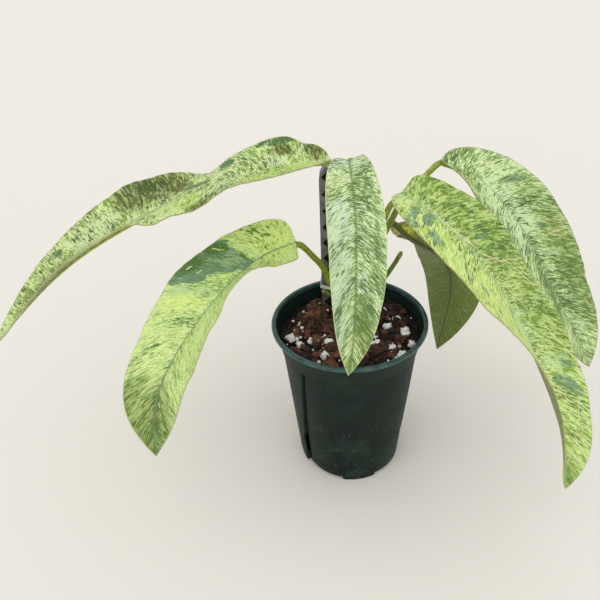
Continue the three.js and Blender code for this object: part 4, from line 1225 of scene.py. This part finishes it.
def make_blade(name, leaf, frames):
    """The blade as a sheet, with its two maps, in decimetres, and the strengths of its marks."""
    middle = BLADE_COLUMNS // 2

    def across_of(column):
        even = (column - middle) / middle
        return even * (0.35 + 0.65 * abs(even)) if abs(even) < 1 else even

    def place(column, row):
        return blade_point(leaf, frames[row], across_of(column))

    blade = shaped_sheet(name, BLADE_COLUMNS, BLADE_ROWS, place)
    mesh = blade.data
    vein_places = []
    flat_places = []
    blotches = []
    tints = []
    for index in range(len(mesh.vertices)):
        row, column = divmod(index, BLADE_COLUMNS + 1)
        across = across_of(column)
        share = frames[row]["share"]
        widest_here = leaf["half_width"] * width_share(leaf, share)
        reach = widest_here * abs(across)
        start = vein_start(leaf, share, reach)
        sideways = math.copysign(reach, across)
        vein_places.append((sideways / 100, start / 100))
        flat_places.append((sideways / 100, share * leaf["length"] / 100))
        for kind in ("deep", "mint", "dark", "dead"):
            blotches.append(mark_strength(leaf, kind, sideways, start))
        # The tints: painted shade from the olive marks, painted light from the bright marks, nearness to
        # the margin, and painted light from the yellow marks, which on leaf F's lobe are also its
        # yellowing.
        tints += [mark_strength(leaf, kind, sideways, start) for kind in ("olive", "bright")]
        tints += [min((widest_here - reach) / 10, 1), mark_strength(leaf, "yellow", sideways, start)]
    for map_name, places in (("veins", vein_places), ("flat leaf", flat_places)):
        layer = mesh.uv_layers.new(name=map_name)
        for loop in mesh.loops:
            layer.data[loop.index].uv = places[loop.vertex_index]
    for layer_name, values in (("blotches", blotches), ("tints", tints)):
        mesh.attributes.new(layer_name, "FLOAT_COLOR", "POINT").data.foreach_set("color", values)
    return blade


def stalk_with_rib(name, leaf, frames):
    """The stalk, grooved above, and the midrib that it runs on into under the blade."""
    up = frames[0]["normal"]
    points = in_metres(leaf["stalk"])
    points.append(Vector(leaf["base"]) * MM - up * STALK_RADIUS[1] * 0.8 * MM)
    route = smooth_route(points, STALK_STEPS)
    radii = []
    for k in range(STALK_STEPS + 1):
        share = k / STALK_STEPS
        knee = math.exp(-(((share - 0.9) / 0.09) ** 2)) * 0.35
        radii.append((between(STALK_RADIUS[0] * leaf["stout"], STALK_RADIUS[1], share) + knee) * MM)
    for row in range(6, BLADE_ROWS - 14, 3):
        frame_at = frames[row]
        radius = between(STALK_RADIUS[1], RIB_END_RADIUS, frame_at["share"] / 0.9) * MM
        route.append(frame_at["spot"] - frame_at["normal"] * (radius * 0.9 + 0.5 * MM))
        radii.append(radius)

    def grooved(outward, step):
        if step > STALK_STEPS:
            return 1
        return 1 - STALK_GROOVE * max(outward.dot(up), 0) ** 6

    return make_rod(name, route, radii, 18, grooved)


def with_painted_shade(tree, share, first, shade_colour):
    """The first colour multiplied by a painted shade colour where share is 1."""
    result = mixed(tree, share, first, shade_colour)
    result.node.blend_type = "MULTIPLY"
    return result


def new_group(name, entries, results):
    """An empty node group with its entries and results, which are given with their kinds."""
    group = bpy.data.node_groups.new(name, "ShaderNodeTree")
    for in_out, sockets in (("INPUT", entries), ("OUTPUT", results)):
        for socket, kind in sockets.items():
            group.interface.new_socket(socket, in_out=in_out, socket_type="NodeSocket" + kind)
    return group, group.nodes.new("NodeGroupInput").outputs, group.nodes.new("NodeGroupOutput").inputs


def marbled_blade():
    """The colour, roughness and height of a marbled blade, from its vein map and its marks."""
    entries = dict.fromkeys(SHIFTED_COLOURS + KEPT_COLOURS, "Color")
    entries |= dict.fromkeys(LEAF_SHARES + ("Rib Width", "Seed"), "Float")
    results = {"Colour": "Color", "Roughness": "Float", "Height": "Float"}
    group, given, kept = new_group("marbled blade", entries, results)
    veins = add_node(group, "ShaderNodeUVMap", uv_map="veins").outputs["UV"]
    parts = add_node(group, "ShaderNodeSeparateXYZ", {"Vector": veins}).outputs

    def read(name):
        """The four numbers of a colour attribute."""
        stored = add_node(group, "ShaderNodeAttribute", attribute_name=name).outputs
        split = add_node(group, "ShaderNodeSeparateColor", {"Color": stored["Color"]}).outputs
        return *split[:3], stored["Alpha"]

    deep, mint, dark, dead = read("blotches")
    # The tints carry the painted shade of the olive marks and the painted light of the bright and yellow
    # marks, with leaf F's own yellowing in its lobe.
    olive, bright, from_margin, yellow = read("tints")

    def times(value, share):
        return sum_of(group, value, share, "MULTIPLY")

    def along_veins(scale_out, scale_over, lift, detail=4):
        """Noise drawn out along the side veins. Scales are in cells to the decimetre."""
        out = times(parts["X"], scale_out)
        over = times(parts["Y"], scale_over)
        layer = sum_of(group, given["Seed"], lift)
        spot = add_node(group, "ShaderNodeCombineXYZ", {"X": out, "Y": over, "Z": layer})
        return noise_mask(group, spot.outputs["Vector"], 1, detail, 0.65)

    def swung(noise_value, share):
        """The noise as a swing about 0, times a share."""
        return times(sum_of(group, noise_value, 0.5, "SUBTRACT"), share)

    def added(*values):
        total = values[0]
        for value in values[1:]:
            total = sum_of(group, total, value)
        return total

    grain = along_veins(34, 78, 0.3)
    fine = along_veins(16, 46, 6.1)
    thin = along_veins(24, 140, 2.2)
    dashes = along_veins(20, 64, 4.7, 3)
    broad = along_veins(6, 11, 8.1)
    gathered = along_veins(5, 6, 11.3, 2)
    pale = mixed(group, 0.6, given["Light"], given["Pale"])
    half_dark = mixed(group, 0.6, given["Mid"], given["Dark"])
    mottled = added(grain, swung(fine, 0.9), swung(broad, 0.35))
    colour = tinted(group, given["Mid"], mottled, 0.435, 0.485, given["Light"])
    colour = tinted(group, colour, added(grain, swung(thin, 1.0)), 0.54, 0.6, pale)
    minty = added(broad, swung(grain, 0.8), times(mint, 0.32), given["Mint Share"])
    silver = tinted(group, given["Mint"], thin, 0.44, 0.58, given["Light"])
    colour = tinted(group, colour, minty, 0.54, 0.64, silver)
    gaps = step_mask(group, added(fine, swung(grain, 0.7), swung(broad, 0.5)), 0.62, 0.44)
    # Painted shade: the olive marks multiply the colour by the leaf's olive tone, more strongly in the gaps
    # of the grain.
    shaded = times(olive, added(times(gaps, 0.55), 0.55))
    colour = with_painted_shade(group, shaded, colour, given["Olive"])
    # Painted light: the bright and yellow marks turn the colour to the leaf's bright tone; on leaf F's lobe
    # this is also the lobe's own yellowing.
    lit = added(times(bright, 0.5), times(yellow, 0.65))
    colour = mixed(group, lit, colour, given["Bright"])
    streaks = added(thin, swung(gathered, 0.35), times(dark, 0.05), given["Dash Share"])
    colour = tinted(group, colour, streaks, 0.57, 0.62, half_dark)
    dashes_here = added(dashes, swung(gathered, 0.45), swung(thin, 0.7), swung(grain, 0.4))
    dashes_here = added(dashes_here, times(dark, 0.085), given["Dash Share"])
    colour = tinted(group, colour, dashes_here, 0.605, 0.66, given["Dark"])
    bluish = mixed(group, 0.5, given["Deep"], given["Mint"])
    cloudy = added(broad, swung(fine, 0.9), times(mint, 0.25))
    patchy = tinted(group, given["Deep"], cloudy, 0.55, 0.64, bluish)
    patchy = tinted(group, patchy, added(thin, times(dark, 0.25)), 0.53, 0.62, given["Dark"])
    patchy = tinted(group, patchy, grain, 0.6, 0.72, pale)
    ragged = times(added(swung(grain, 2.5), swung(fine, 4.5)), given["Ragged"])
    colour = tinted(group, colour, times(deep, added(ragged, 1)), 0.44, 0.56, patchy)
    from_rib = add_node(group, "ShaderNodeMath", {0: parts["X"]}, operation="ABSOLUTE").outputs[0]
    from_rib = added(from_rib, swung(dashes, 0.04))
    on_rib = times(step_mask(group, from_rib, given["Rib Width"], 0), 0.85)
    colour = mixed(group, on_rib, colour, given["Rib"])
    colour = tinted(group, colour, from_margin, 0.045, 0.01, given["Margin"])
    colour = tinted(group, colour, added(dead, swung(fine, 0.7)), 0.44, 0.56, "33261a")
    phase = times(parts["Y"], 62.8 * RIDGES_PER_CM)
    ridges = add_node(group, "ShaderNodeMath", {0: phase}, operation="SINE").outputs[0]
    feed(group, kept["Colour"], colour)
    feed(group, kept["Roughness"], added(times(fine, 0.2), 0.34))
    feed(group, kept["Height"], added(times(ridges, 0.12), fine))
    return group


def scar_line():
    """A mask that is 1 on an uneven line between two places of the flat leaf."""
    group, given, kept = new_group("scar line", {"From": "Vector", "To": "Vector"}, {"Mask": "Float"})
    spot = add_node(group, "ShaderNodeUVMap", uv_map="flat leaf").outputs["UV"]

    def vectors(operation, first, second, result="Vector", entry=1):
        values = {0: first, entry: second}
        return add_node(group, "ShaderNodeVectorMath", values, operation=operation).outputs[result]

    wobble = add_node(group, "ShaderNodeTexNoise", {"Vector": spot, "Scale": 22, "Detail": 2})
    centred = vectors("SUBTRACT", wobble.outputs["Color"], (0.5, 0.5, 0.5))
    spot = vectors("ADD", spot, vectors("MULTIPLY", centred, (0.03, 0.03, 0)))
    reached = vectors("SUBTRACT", spot, given["From"])
    whole = vectors("SUBTRACT", given["To"], given["From"])
    along = vectors("DOT_PRODUCT", reached, whole, "Value")
    full = vectors("DOT_PRODUCT", whole, whole, "Value")
    share = add_node(group, "ShaderNodeClamp", {"Value": sum_of(group, along, full, "DIVIDE")}).outputs[0]
    nearest = vectors("SCALE", whole, share, entry="Scale")
    distance = vectors("DISTANCE", reached, nearest, "Value")
    feed(group, kept["Mask"], step_mask(group, distance, 0.005, 0.001))
    return group


marbling = marbled_blade()
scar_mask = scar_line()


def finish_blade(blade, name, leaf, shift):
    """Gives the blade a finish. Shift turns its colours towards the dull underside."""
    tree = new_finish(blade, name, 0.45, 0.3)
    values = {"Rib Width": leaf["rib_width"] / 100, "Seed": leaf["seed"] * 3.3}
    for socket in LEAF_SHARES:
        values[socket] = leaf[socket.lower().replace(" ", "_")]
    for socket in SHIFTED_COLOURS:
        both = zip(hex_colour(leaf[socket.lower()]), hex_colour(UNDERSIDE_TINT))
        values[socket] = [between(own, dull, shift) for own, dull in both]
    for socket in KEPT_COLOURS:
        values[socket] = leaf[socket.lower()]
    marbled = add_node(tree, "ShaderNodeGroup", values, node_tree=marbling).outputs
    colour = marbled["Colour"]
    for first, last, tone in leaf["scars"]:
        ends = {"From": (first[0] / 100, first[1] / 100, 0), "To": (last[0] / 100, last[1] / 100, 0)}
        line = add_node(tree, "ShaderNodeGroup", ends, node_tree=scar_mask).outputs["Mask"]
        colour = mixed(tree, line, colour, tone)
    shade(tree, "Roughness", marbled["Roughness"])
    dress(tree, colour, marbled["Height"], 0.18 * MM, 0.6)


for seed, (node_name, own) in enumerate(LEAVES.items(), 1):
    leaf = USUAL_LEAF | own | {"seed": seed}
    frames = midrib_frames(leaf)
    blade = make_blade(node_name + "_blade", leaf, frames)
    finish_blade(blade, node_name + " upper face", leaf, 0)
    finish_blade(blade, node_name + " underside", leaf, leaf["dullness"])
    apply_modifier(blade, "SOLIDIFY", thickness=BLADE_THICKNESS, offset=0, material_offset=1)
    smooth_by_angle(blade, 60)
    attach(blade, "root")
    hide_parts(node_name)
    stalk = stalk_with_rib(node_name + "_stalk", leaf, frames)
    smooth_by_angle(stalk, 70)
    tree = new_finish(stalk, node_name + " stalk", 0.4)
    lines = noise_mask(tree, object_coordinates(tree), 500, 3)
    colour = tinted(tree, leaf["stalk_tones"][0], lines, 0.35, 0.7, leaf["stalk_tones"][1])
    dress(tree, colour, lines, 0.1 * MM, 0.6)
    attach(stalk, "root")
